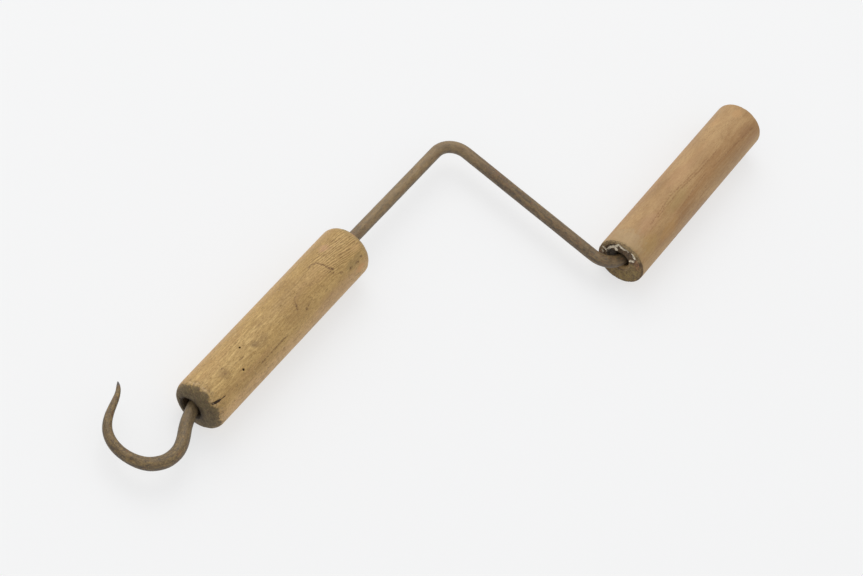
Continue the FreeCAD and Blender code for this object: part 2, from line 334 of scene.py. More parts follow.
def profile_loop(x0, x1, r0, r1, e0, e1, xs, mouth0, mouth1, bore_r):
    """Closed profile (x, r, axis share, nx, nr, part) of a bored sleeve.
    e0, e1: edge rounding; mouth0, mouth1: lists of (depth, r) inwards from each
    face, from the bore out to the face.  Axis share 1 follows the outside's axis
    and 0 the bore's."""
    pts = []
    # outside, from the x0 edge to the x1 edge
    for x in xs:
        if x0 + e0 < x < x1 - e1:
            pts.append((x, r0 + (r1 - r0) * (x - x0) / (x1 - x0), 1.0, 0))
    n1 = max(4, int(e1 * 1.6 / 0.45))
    pts.append((x1 - e1, r1, 1.0, 0))
    pts += [(x, r, 1.0, 1) for x, r in arc_pts(x1 - e1, r1 - e1, e1, 90, 0, n1)]
    # face x1, going in to the mouth
    rm = mouth1[-1][1]
    k = max(3, int((r1 - e1 - rm) / 0.55))
    for t in range(1, k):
        r = (r1 - e1) + (rm - (r1 - e1)) * t / k
        pts.append((x1, r, t / k * -1.0 + 1.0, 1))
    for dep, r in reversed(mouth1):
        pts.append((x1 - dep, r, 0.0, 2))
    # bore
    xa, xb = x1 - mouth1[0][0], x0 + mouth0[0][0]
    k = max(2, int((xa - xb) / 4.0))
    for t in range(1, k):
        pts.append((xa + (xb - xa) * t / k, bore_r, 0.0, 2))
    for dep, r in mouth0:
        pts.append((x0 + dep, r, 0.0, 2))
    rm = mouth0[-1][1]
    k = max(3, int((r0 - e0 - rm) / 0.45))
    for t in range(1, k):
        r = rm + ((r0 - e0) - rm) * t / k
        pts.append((x0, r, t / k, 3))
    n0 = max(4, int(e0 * 1.6 / 0.40))
    pts.append((x0, r0 - e0, 1.0, 3))
    pts += [(x, r, 1.0, 3) for x, r in arc_pts(x0 + e0, r0 - e0, e0, 180, 90, n0)]
    A = np.array(pts)
    # outward normal of the profile from neighbouring points
    d = np.roll(A[:, :2], -1, axis=0) - np.roll(A[:, :2], 1, axis=0)
    L = np.linalg.norm(d, axis=1)
    nx, nr = -d[:, 1] / L, d[:, 0] / L
    return np.c_[A, nx, nr]


def place(prof, th, axis_y, axis_z, bore_y, bore_z):
    """Points and outward directions for every profile point and angle."""
    x, r, w, part, nx, nr = prof.T
    ay, az = axis_y(x), axis_z(x)
    cy = bore_y + w * (ay - bore_y)
    cz = bore_z + w * (az - bore_z)
    c, s = np.cos(th), np.sin(th)
    P = np.stack([np.repeat(x[:, None], len(th), 1), cy[:, None] + r[:, None] * c, cz[:, None] + r[:, None] * s], -1)
    D = np.stack([np.repeat(nx[:, None], len(th), 1), nr[:, None] * c, nr[:, None] * s], -1)
    return P, D


def deg_lines(spans):
    d = lines(spans)
    return np.radians(d[:-1])


def on_side(x, ang, r, cy, cz):
    a = math.radians(ang)
    return np.array([x, cy + r * math.cos(a), cz + r * math.sin(a)])


def make_bearing_handle():
    def ay(x):
        return BH_OFF_Y0 + (BH_OFF_Y1 - BH_OFF_Y0) * (x - BH_X0) / (BH_X1 - BH_X0)

    def az(x):
        return BH_OFF_Z + 0 * x

    xs = lines([(BH_X0, BH_X1, 0.9), (BH_X0, BH_X0 + 18, 0.45), (BH_X1 - 14, BH_X1, 0.6),
                (-256.7, -253.8, 0.22), (-267.2, -264.1, 0.22)])
    mouth0 = [(BH_FUNNEL_L, BH_BORE_R)] + [(d, 8.0) for d in (14.0, 11.0, 8.5, 6.5, 5.0, 3.8, 2.8, 2.0, 1.5, 1.05, 0.7, 0.4, 0.18, 0.0)]
    prof = profile_loop(BH_X0, BH_X1, BH_R0, BH_R1, BH_ROUND0, BH_ROUND1, xs, mouth0,
                        [(5.0, BH_BORE_R), (3.0, 5.5), (1.6, 5.7), (0.8, 5.9), (0.3, 6.15), (0.0, 6.6)],
                        BH_BORE_R)
    th = deg_lines([(0, 360, 1.9), (72.5, 80.5, 0.55), (108.5, 127.5, 0.55), (-10 + 360, 360, 0.7), (0, 2, 0.7)])
    P, D = place(prof, th, ay, az, 0.0, 0.0)
    n, m = P.shape[:2]
    # the mouth at the hook end is worn open by the neck, most on the -Y side,
    # with a dished lip; the hole is off centre, so its rim cuts into the rounding
    # of the edge on the +Y side and the face is drawn out from the rim itself
    deg = np.degrees(th) % 360
    hole = np.interp(deg, [0, 59, 93, 126, 158, 197, 230, 270, 315, 360], [6.8, 7.4, 7.9, 8.1, 8.3, 9.0, 8.6, 7.8, 7.0, 6.8])
    hole = hole + 0.22 * noise3(np.c_[np.cos(th) * 2.2, np.sin(th) * 2.2, th * 0 + 3.0], 137)
    flat_r, y0 = BH_R0 - BH_ROUND0, BH_OFF_Y0

    def rim(r):
        """Where a circle round the bore meets the outside's end profile."""
        oy, oz = r * np.cos(th) - y0, r * np.sin(th) - BH_OFF_Z
        ro = np.hypot(oy, oz)
        over = np.clip((ro - flat_r) / BH_ROUND0, 0, 0.999)
        t = np.minimum(ro, flat_r) + BH_ROUND0 * np.arcsin(over)
        return t, np.arctan2(oz, oy), BH_X0 + BH_ROUND0 * (1 - np.sqrt(1 - over ** 2))

    t_s, a_s, x_s = rim(hole + 1.1)
    for k in np.where((prof[:, 3] == 2) & (prof[:, 0] < BH_X0 + BH_FUNNEL_L + 0.01))[0]:
        d = prof[k, 0] - BH_X0
        r = BH_BORE_R + (hole - BH_BORE_R) * np.clip((BH_FUNNEL_L - d) / (BH_FUNNEL_L - 2.0), 0, 1) + 1.1 * max(0.0, 1 - d / 2.0) ** 2
        P[k, :, 0] = BH_X0 + d + (x_s - BH_X0) * max(0.0, 1 - d / 6.0)
        P[k, :, 1], P[k, :, 2] = r * np.cos(th), r * np.sin(th)
    ring3 = np.where(prof[:, 3] == 3)[0]
    t_end = flat_r + BH_ROUND0 * math.pi / 2
    swing = (a_s - th + np.pi) % (2 * np.pi) - np.pi
    for i, k in enumerate(ring3):
        u = (i + 1) / len(ring3)
        t = t_s + (t_end - t_s) * u
        a = th + swing * (1 - smooth(0, 1, u))
        bend = np.clip((t - flat_r) / BH_ROUND0, 0, math.pi / 2)
        r = np.where(t < flat_r, t, flat_r + BH_ROUND0 * np.sin(bend))
        P[k, :, 0] = BH_X0 + BH_ROUND0 * (1 - np.cos(bend))
        P[k, :, 1], P[k, :, 2] = y0 + r * np.cos(a), BH_OFF_Z + r * np.sin(a)
        D[k, :, 0], D[k, :, 1], D[k, :, 2] = -np.cos(bend), np.sin(bend) * np.cos(a), np.sin(bend) * np.sin(a)
    flat, part = P.reshape(-1, 3), np.repeat(prof[:, 3], m)
    x = flat[:, 0]
    yy, zz = flat[:, 1] - ay(x), flat[:, 2] - BH_OFF_Z
    rr, ang = np.hypot(yy, zz), np.degrees(np.arctan2(zz, yy))
    outer = (part != 2)
    # hand-worn roundness, tool marks, fibres and shallow dents
    slow = fbm(np.c_[x / 60.0, yy / 24.0, zz / 24.0], 2, 101)
    wave = fbm(np.c_[x / 16.0, yy / 9.0, zz / 9.0], 2, 103)
    fibre = fbm(np.c_[x / 15.0, yy / 0.9, zz / 0.9], 2, 107)
    dents = np.clip(noise3(np.c_[x / 7.0, yy / 4.5, zz / 4.5], 109) - 0.45, 0, None)
    near0, near1 = smooth(BH_X0 + 13, BH_X0 + 1, x), smooth(BH_X1 - 12, BH_X1 - 1, x)
    ends = np.maximum(near0, near1)
    wear = ends * (0.35 + 0.9 * fbm(np.c_[x / 9.0, yy / 5.0, zz / 5.0], 3, 113))
    h = -0.10 + 0.07 * slow + 0.05 * wave + 0.035 * fibre - 0.35 * dents - 0.30 * np.clip(wear, 0, None)
    # end grain is rough
    face0 = smooth(BH_X0 + 3.0, BH_X0 + 0.5, x)
    face1 = smooth(BH_X1 - 3.0, BH_X1 - 0.5, x)
    h += -0.16 * np.clip(fbm(flat / 1.3, 3, 127) + 0.25, 0, None) * np.maximum(face0, face1)
    h = np.minimum(h, -0.004)
    # deep is dug into the surface and also painted dark through the cavity mask: painted shade in the gash, split, worm
    # holes, crack and scratch
    deep = np.zeros(len(flat))
    # gash at the hook end
    slit = [(-299.3, 115.6, 18.6), (-297.6, 117.2, 19.3), (-295.2, 119.0, 19.6), (-292.4, 120.8, 19.6), (-288.6, 122.4, 19.6)]
    pts = [on_side(a, b, c, ay(a), BH_OFF_Z) for a, b, c in slit]
    for i, (p, q) in enumerate(zip(pts[:-1], pts[1:])):
        d, t = seg_distance(flat, p, q)
        s = (i + t) / (len(pts) - 1)
        half = np.interp(s, [0, 0.50, 0.64, 0.74, 0.90, 1.0], [1.05, 1.10, 0.80, 0.36, 0.62, 0.40]) + 0.22 * noise3(flat / 1.0, 129)
        g = np.clip(1.4 * (1 - (d / np.maximum(half, 0.12)) ** 2), 0, 1)
        deep = np.maximum(deep, g * np.interp(s, [0, 0.15, 0.55, 0.80, 1.0], [1.0, 1.35, 1.2, 0.5, 0.6]))
    # short split in the left of the hook-end rim
    A = np.array([BH_X0 - 0.2, y0 + 11.5, BH_OFF_Z - 0.8])
    B = on_side(BH_X0 + 3.4, -4.5, 18.6, y0, BH_OFF_Z)
    d, t = seg_distance(flat, A, B)
    deep = np.maximum(deep, 1.35 * np.clip(1 - (d / 1.0) ** 2, 0, 1))
    # two flight holes of woodworm
    for hx, ha, hr in ((-255.2, 76.5, 0.62), (-265.6, 112.5, 0.78)):
        c = on_side(hx, ha, 19.6, ay(hx), BH_OFF_Z)
        d = np.linalg.norm(flat - c, axis=1)
        deep = np.maximum(deep, 2.2 * (1 - smooth(hr * 0.75, hr * 1.25, d)))
    # drying crack along the grain, and the curved scratch near the arm end
    for chain, width, dep in (
        ([(-252.0, 131.5), (-243.0, 130.6), (-236.0, 131.4), (-228.0, 130.4), (-222.5, 131.0)], 0.55, 0.24),
        ([(-172.8, 68.2), (-169.2, 66.0), (-166.0, 71.2), (-164.4, 82.5), (-162.8, 95.2), (-161.2, 105.0), (-160.0, 114.8)], 0.6, 0.22),
    ):
        pts = [on_side(a, b, 19.6, ay(a), BH_OFF_Z) for a, b in chain]
        gap = smooth(-0.25, 0.30, noise3(flat / 2.1, 145))
        for p, q in zip(pts[:-1], pts[1:]):
            d, t = seg_distance(flat, p, q)
            deep = np.maximum(deep, dep * gap * np.clip(1 - (d / width) ** 2, 0, 1))
    h = np.where(outer, h - deep, 0.05 * noise3(flat / 1.6, 131))
    h = np.where(part == 2, np.maximum(h, -0.02), h)
    Q = (P + D * h.reshape(n, m, 1)).reshape(-1, 3)
    # masks for the finish
    along_end = np.where(rr < flat_r, rr, flat_r + BH_ROUND0 * np.arctan2(np.clip(rr - flat_r, 0, None), BH_X0 + BH_ROUND0 - x))
    along_end = np.where(x > BH_X0 + BH_ROUND0, t_end + x - BH_X0 - BH_ROUND0, along_end)
    edge = fbm(np.c_[x / 4.0, yy / 4.0, zz / 4.0], 3, 139)
    ragged = fbm(flat / 1.5, 2, 141)
    # how far the grime of the hook end reaches over the worn edge
    reach = np.interp(ang % 360, [0, 27.8, 54.8, 72.5, 76.5, 93.8, 103.0, 107.0, 114.8, 129, 144.8, 159, 171.8, 220, 300, 360],
                      [21.2, 21.8, 21.4, 23.3, 21.2, 22.3, 21.2, 18.8, 19.2, 21.4, 21.0, 20.2, 21.8, 21.0, 21.5, 21.2])
    off = along_end - reach + 0.9 * edge + 1.1 * ragged
    dirt0 = 1 - smooth(-2.4, 2.2, off)
    dirt0 = np.where(x > BH_X0 + 30, 0, dirt0)
    haze = 0.34 * smooth(8.0, 0.0, off + 1.6 * edge) * (x < BH_X0 + 40)
    chip = np.exp(-((off - 1.6) / 1.3) ** 2) * smooth(-0.05, 0.25, fbm(flat / 1.9, 2, 143)) * (x < BH_X0 + 30)
    dirt1 = (1 - smooth(0.6, 3.0, (BH_X1 - x) + 2.5 * edge)) * 0.46
    inner = (part == 2).astype(float)
    # painted shade on the lip of the mouth; it also goes into the dirt mask and is kept out of the bore mask
    lip_shade = inner * smooth(BH_X0 + 2.0, BH_X0 + 0.6, x)
    deg_o = ang % 360
    ripple = (0.25 * smooth(-190, -176, x) + 0.75 * smooth(-174, -160, x)) * smooth(-129, -134, x) * smooth(50, 60, deg_o) * smooth(124, 108, deg_o)
    ripple = ripple * (0.65 + 0.35 * smooth(-0.25, 0.25, edge))
    streaky = smooth(-206, -226, x) * smooth(30, 48, deg_o) * smooth(126, 100, deg_o)
    pinkish = smooth(132, 150, deg_o) * smooth(215, 185, deg_o) + 0.7 * smooth(44, 26, deg_o) * (deg_o < 60)
    olive = smooth(10.0, 2.0, BH_X1 - x + 3.5 * edge) * smooth(25, 60, deg_o) * smooth(175, 135, deg_o)
    # painted shade: the worn face is darkened towards the rim of the hole, most at the rim and more on some sides than
    # others, and on the lip of the mouth
    from_rim = np.hypot(flat[:, 1], flat[:, 2]) - np.tile(hole, n) - 1.0
    shade = (part == 3) * np.clip(1 - from_rim / 3.4, 0, 1) ** 1.4 * (0.62 + 0.38 * smooth(20, 110, deg_o) * smooth(290, 230, deg_o))
    shade = np.maximum(shade, lip_shade)
    return grid_object("bearing_handle_wood", Q.reshape(n, m, 3), True, {
        "dirt": np.clip(np.maximum(np.maximum(dirt0, haze), dirt1) * (1 - inner) + lip_shade, 0, 1),
        "cavity": np.clip(deep / 0.9, 0, 1),
        "shade": np.clip(shade, 0, 1),
        "bore": inner * (1 - lip_shade),
        "endgrain": np.clip(np.maximum(face0, face1) * (rr < 18.6), 0, 1),
        "pale": 0.60 * chip,
        "ripple": ripple, "streaky": streaky, "pinkish": np.clip(pinkish, 0, 1), "olive": olive,
    })


def make_crank_grip():
    cy = ARM_END[1]
    xs = lines([(CG_X0, CG_X1, 0.9), (CG_X0, CG_X0 + 10, 0.5)])
    e0, e1 = 1.5, CG_ROUND1
    prof = profile_loop(CG_X0, CG_X1, CG_R, CG_R, e0, e1, xs,
                        [(CG_MOUTH_L, CG_BORE_R), (6.5, 5.75), (5.0, 6.3), (3.8, 6.75), (2.8, 7.05), (2.0, 7.3), (1.4, 7.5), (0.9, 7.7), (0.4, 8.0), (0.0, 8.5)],
                        [(4.0, CG_BORE_R), (2.0, 5.35), (0.8, 5.5), (0.3, 5.7), (0.0, 6.1)],
                        CG_BORE_R)
    th = deg_lines([(0, 360, 1.9), (-30 + 360, 360, 0.9), (0, 215, 0.9)])
    P, D = place(prof, th, lambda x: cy + 0 * x, lambda x: 0 * x, cy, 0.0)
    n, m = P.shape[:2]
    # the hole is worn out towards the arm, where the bend of the bar leans on it
    deg = np.degrees(th) % 360
    slot = np.interp(deg, [0, 15, 30, 47, 77, 300, 320, 335, 350, 360], [3.9, 3.5, 1.9, 0.6, 0.0, 0.0, 1.0, 2.6, 3.9, 3.9])
    # and stays close round the bar on the side away from the arm
    # of the hole, but clear of the bend all the way round, so that the grip can turn
    slot = slot - np.interp(deg, [0, 85, 118, 140, 165, 225, 270, 300, 330, 360], [0.0, 0.3, 0.9, 1.4, 1.6, 1.6, 1.6, 1.1, 0.0, 0.0])
    bend_end = ARM_END[0] + ELBOW_2_R + 0.2
    for k in np.where((prof[:, 0] < CG_X0 + 6) & ((prof[:, 3] == 2) | (prof[:, 3] == 3)))[0]:
        if prof[k, 3] == 2:
            g = float(smooth(5.5, 2.0, prof[k, 0] - CG_X0))
            t_ = max(bend_end - prof[k, 0], 0.0)
            swept = ROD_R + ELBOW_2_R - math.sqrt(ELBOW_2_R ** 2 - t_ ** 2)
            out = np.maximum(slot * g, max(CG_BORE_R + 0.05, swept + 0.15) - prof[k, 1])
        else:
            out = slot * max(0.0, 1 - (prof[k, 1] - 8.5) / 6.5)
        P[k, :, 1] += out * np.cos(th)
        P[k, :, 2] += out * np.sin(th)
    flat, part = P.reshape(-1, 3), np.repeat(prof[:, 3], m)
    x = flat[:, 0]
    yy, zz = flat[:, 1] - cy, flat[:, 2]
    rr, ang = np.hypot(yy, zz), np.degrees(np.arctan2(zz, yy))
    slow = fbm(np.c_[x / 70.0, yy / 26.0, zz / 26.0], 2, 201)
    wave = fbm(np.c_[x / 18.0, yy / 10.0, zz / 10.0], 2, 203)
    fibre = fbm(np.c_[x / 18.0, yy / 0.8, zz / 0.8], 2, 207)
    near0, near1 = smooth(CG_X0 + 4.5, CG_X0 + 0.5, x), smooth(CG_X1 - 5, CG_X1 - 0.5, x)
    nick = np.clip(fbm(np.c_[x / 3.5, yy / 2.2, zz / 2.2], 3, 211) + 0.05, 0, None)
    h = -0.06 + 0.04 * slow + 0.03 * wave + 0.018 * fibre - 0.75 * nick * near0 - 0.40 * nick * near1
    face1 = smooth(CG_X1 - 2.0, CG_X1 - 0.3, x) * (rr < 18.2)
    h += -0.12 * np.clip(fbm(flat / 1.3, 3, 227) + 0.2, 0, None) * face1
    h = np.minimum(h, -0.004)
    # the end towards the arm has broken away round the hole: an irregular crater
    face0 = (part == 3)
    deg_o = ang % 360
    crater_r = np.interp(deg_o, [0, 11, 32, 55, 75, 100, 117, 127, 134, 146, 200, 300, 333, 348, 360],
                         [15.0, 15.5, 16.3, 16.9, 16.9, 16.3, 16.9, 15.3, 12.6, 10.6, 9.9, 10.0, 13.2, 14.6, 15.0])
    crater_r = crater_r + 0.45 * noise3(np.c_[np.cos(np.radians(ang)) * 6.5, np.sin(np.radians(ang)) * 6.5, 0 * x + 2], 233) \
        + 0.25 * noise3(np.c_[np.cos(np.radians(ang)) * 17.0, np.sin(np.radians(ang)) * 17.0, 0 * x + 2], 235)
    floor_ = 1.15 + 0.45 * noise3(flat / 2.0, 237) + 0.25 * noise3(flat / 0.95, 238)
    floor_ = floor_ * (1 - 0.62 * smooth(122, 145, deg_o) * smooth(330, 300, deg_o))
    dig = floor_ * (1 - smooth(crater_r - 0.45, crater_r + 0.15, rr))
    # a crevice runs under the upper rim
    arch = smooth(22, 34, deg_o) * smooth(124, 114, deg_o)
    crevice = np.exp(-((rr - crater_r + 0.55) / 0.42) ** 2) * arch
    dig = dig + 0.75 * crevice
    # chips of bare wood that stand up in the broken part
    flecks = (
        ([(12.9, 2.2), (12.6, 4.4), (12.0, 6.4), (10.7, 8.7)], 0.86), ([(10.7, 8.7), (9.3, 10.4), (8.7, 13.2), (8.2, 15.2)], 0.74),
        ([(9.6, 9.6), (7.3, 8.3)], 0.80),
        ([(6.9, 14.6), (5.3, 14.0), (3.8, 13.6)], 0.88), ([(3.8, 13.6), (2.0, 14.6), (0.1, 14.9)], 0.70),
        ([(-3.8, 16.2), (-5.3, 15.2), (-6.3, 14.2), (-7.2, 13.0)], 0.94),
        ([(-5.4, 7.6), (-6.4, 9.2), (-7.6, 9.9)], 0.78),
        ([(17.0, 2.2), (15.1, 1.6), (12.6, -0.4)], 0.42),
        ([(15.9, -1.6), (14.5, -2.7)], 0.50), ([(16.0, -8.0), (14.6, -6.6)], 0.45),
        ([(-8.5, 10.9), (-11.0, 9.4)], 0.42), ([(-11.6, 12.0), (-12.6, 9.8)], 0.42), ([(-11.4, 7.6), (-13.4, 6.4)], 0.42),
        ([(-9.2, 13.2), (-10.4, 11.8)], 0.40),
    )
    flake = np.zeros(len(flat))
    rust = np.zeros(len(flat))
    jag = 0.42 * noise3(flat / 0.8, 251)
    torn = smooth(-0.30, 0.12, noise3(flat / 1.45, 255))
    plane = np.c_[yy, zz]
    for i, (chain_, half) in enumerate(flecks):
        for p, q in zip(chain_[:-1], chain_[1:]):
            d, t = seg_distance(plane, p, q)
            one = np.clip(1.5 * (1 - ((d + jag) / (1.32 * half)) ** 2), 0, 1)
            if i >= 9:  # fibres stained red
                rust = np.maximum(rust, one)
            else:
                flake = np.maximum(flake, one)
    flake = flake * face0 * (0.25 + 0.75 * torn)
    dig = dig * (1 - 0.75 * flake)
    rough = 0.30 * np.clip(fbm(flat / 1.25, 3, 239) + 0.25, 0, None)
    h = np.where(face0, h - rough * (1 - flake) - dig, h)
    h = np.where(part == 2, 0.05 * noise3(flat / 1.6, 241), h)
    Q = (P + D * h.reshape(n, m, 1)).reshape(-1, 3)
    # bore wall near the mouth starts at the crater's floor
    inmouth = (part == 2) & (x < CG_X0 + 5.2)
    Q[:, 0] = np.where(inmouth, np.maximum(Q[:, 0], CG_X0 + 1.5 + 0.70 * (x - CG_X0)), Q[:, 0])
    edge = fbm(np.c_[x / 4.0, yy / 4.0, zz / 4.0], 3, 247)
    speck = fbm(flat / 0.9, 2, 249)
    top = smooth(30, 55, deg_o) * smooth(135, 118, deg_o)
    band = 1 - smooth(0.3, 1.2 + 2.6 * top, (x - CG_X0) + 1.0 * edge)
    dirt = np.clip(band * (0.50 + 0.50 * top * smooth(-0.15, 0.25, speck)), 0, 1)
    dirt = np.where(face0, 1.0, dirt)
    upper = smooth(-16, 0, ang) * smooth(134, 124, ang)
    rimtan = np.where(face0, smooth(crater_r - 0.1, crater_r + 0.6, rr) * upper, 0) * smooth(0.30, -0.10, speck)
    low = smooth(138, 150, deg_o) * smooth(318, 250, deg_o)
    olive = np.where(face0, low * smooth(7.6, 9.4, rr) * smooth(18.6, 17.4, rr), 0) * (0.55 + 0.45 * smooth(-0.25, 0.25, edge)) \
        + 0.45 * (1 - smooth(1.0, 4.6, x - CG_X0 + 1.8 * edge)) * (part == 0) \
        + 0.16 * smooth(30.0, 6.0, x - CG_X0 + 5.0 * edge) * (part == 0)
    red = np.where(face0, np.exp(-((rr - 14.2) / 2.6) ** 2) * smooth(118, 126, deg_o) * smooth(166, 154, deg_o)
                   * smooth(-0.25, 0.25, np.sin(np.radians(deg_o) * 95)), 0)
    red = np.maximum(red, 0.8 * face0 * np.exp(-((rr - 16.6) / 1.6) ** 2) * smooth(-24, -12, ang) * smooth(20, 8, ang) * smooth(0.0, 0.3, speck))
    red = np.maximum(red * smooth(-0.3, 0.2, speck), face0 * rust)
    # painted light: the wall of the hole away from the arm is lightened to the tan rim tone and kept out of the dark
    # bore tone and the painted throat shade
    painted_light_wall = (part == 2) * smooth(CG_X0 + 6.0, CG_X0 + 4.0, x) * smooth(122, 140, deg_o) * smooth(300, 280, deg_o)
    crescent = np.where(face0, np.exp(-((rr - 7.4) / 0.95) ** 2) * smooth(132, 144, deg_o) * smooth(226, 206, deg_o), 0)
    # the crater is darker on its upper side, and the crevice under the upper rim is painted dark: painted shade
    cav = np.where(face0, np.clip((1 - smooth(crater_r - 1.0, crater_r - 0.1, rr)) * (0.36 + 0.34 * smooth(0.05, 0.30, speck)) * upper
                                  + 0.9 * crevice, 0, 1) * (1 - flake), 0)
    # painted shade on part of the face's rounded rim, and painted shade in the throat of the hole
    shade = np.where(face0, 0.62 * smooth(16.4 + 1.2 * edge, 18.0, rr) * smooth(196, 230, deg_o) * smooth(345, 320, deg_o), 0)
    shade = np.maximum(shade, (part == 2) * smooth(CG_X0 + 12, CG_X0 + 6, x) * 0.9 * (1 - painted_light_wall))
    # warmer heartwood along the side towards the arm's far end
    zx, za = (38.0, 61.0, 84.7, 100.3, 127.1, 158.3, 176.3), (137.2, 132.8, 121.5, 117.8, 108.0, 120.8, 120.8)
    mid_a = np.interp(x, zx, za)
    heart = np.exp(-((deg_o - mid_a) / (9.0 + 13.0 * smooth(60, 115, x))) ** 2) * smooth(20, 60, x) * (part == 0)
    return grid_object("crank_grip_wood", Q.reshape(n, m, 3), True, {
        "dirt": dirt * (part != 2), "cavity": cav, "bore": (part == 2) * (1 - painted_light_wall), "shade": np.clip(shade, 0, 1),
        "endgrain": np.clip((face0 | (face1 > 0.5)).astype(float), 0, 1),
        "pale": np.clip(1.3 * flake, 0, 1) * smooth(-0.75, 0.0, fbm(flat / 1.1, 2, 253)),
        "rimtan": np.maximum(np.maximum(rimtan, crescent), painted_light_wall),
        "olive": np.clip(olive, 0, 1), "red": red, "heart": heart})


def make_washer():
    cy = ARM_END[1]
    x0, x1 = CG_X1 + END_PLAY, CG_X1 + END_PLAY + WASHER_T
    pts = [(x0, WASHER_BORE_R + 0.1), (x0, 6.2), (x0, 7.8), (x0, 9.4), (x0, WASHER_R - 0.45), (x0 + 0.15, WASHER_R - 0.12),
           (x0 + 0.45, WASHER_R), (x0 + 0.9, WASHER_R), (x1 - 0.45, WASHER_R), (x1 - 0.15, WASHER_R - 0.12), (x1, WASHER_R - 0.45),
           (x1, 9.7), (x1, 8.8), (x1, 7.6), (x1, 6.0), (x1, WASHER_BORE_R + 0.1), (x1 - 0.9, WASHER_BORE_R)]
    A = np.array(pts)
    d = np.roll(A, -1, axis=0) - np.roll(A, 1, axis=0)
    L = np.linalg.norm(d, axis=1)
    nx, nr = -d[:, 1] / L, d[:, 0] / L
    m = 120
    th = 2 * np.pi * np.arange(m) / m
    c, s = np.cos(th), np.sin(th)
    P = np.stack([np.repeat(A[:, 0][:, None], m, 1), cy + A[:, 1][:, None] * c, A[:, 1][:, None] * s], -1)
    D = np.stack([np.repeat(nx[:, None], m, 1), nr[:, None] * c, nr[:, None] * s], -1)
    flat = P.reshape(-1, 3)
    h = -0.06 + 0.05 * fbm(flat / 2.4, 3, 301) - 0.25 * np.clip(noise3(flat / 1.6, 303) - 0.3, 0, None)
    rr = np.hypot(flat[:, 1] - cy, flat[:, 2])
    h = h - np.where(rr > 10, 0.18 * np.clip(noise3(flat / 4.5, 305), 0, None), 0)
    h = np.minimum(h, -0.003).reshape(len(A), m, 1)
    # D points into the metal when the profile runs the other way round
    if (D[4, 0, 0] > 0):
        D = -D
    Q = P + D * h
    return grid_object("grip_washer_iron", Q, True, {"cavity": np.clip(-h - 0.05, 0, 0.2).reshape(-1) * 4, "along": np.full(len(flat), 0.9)})


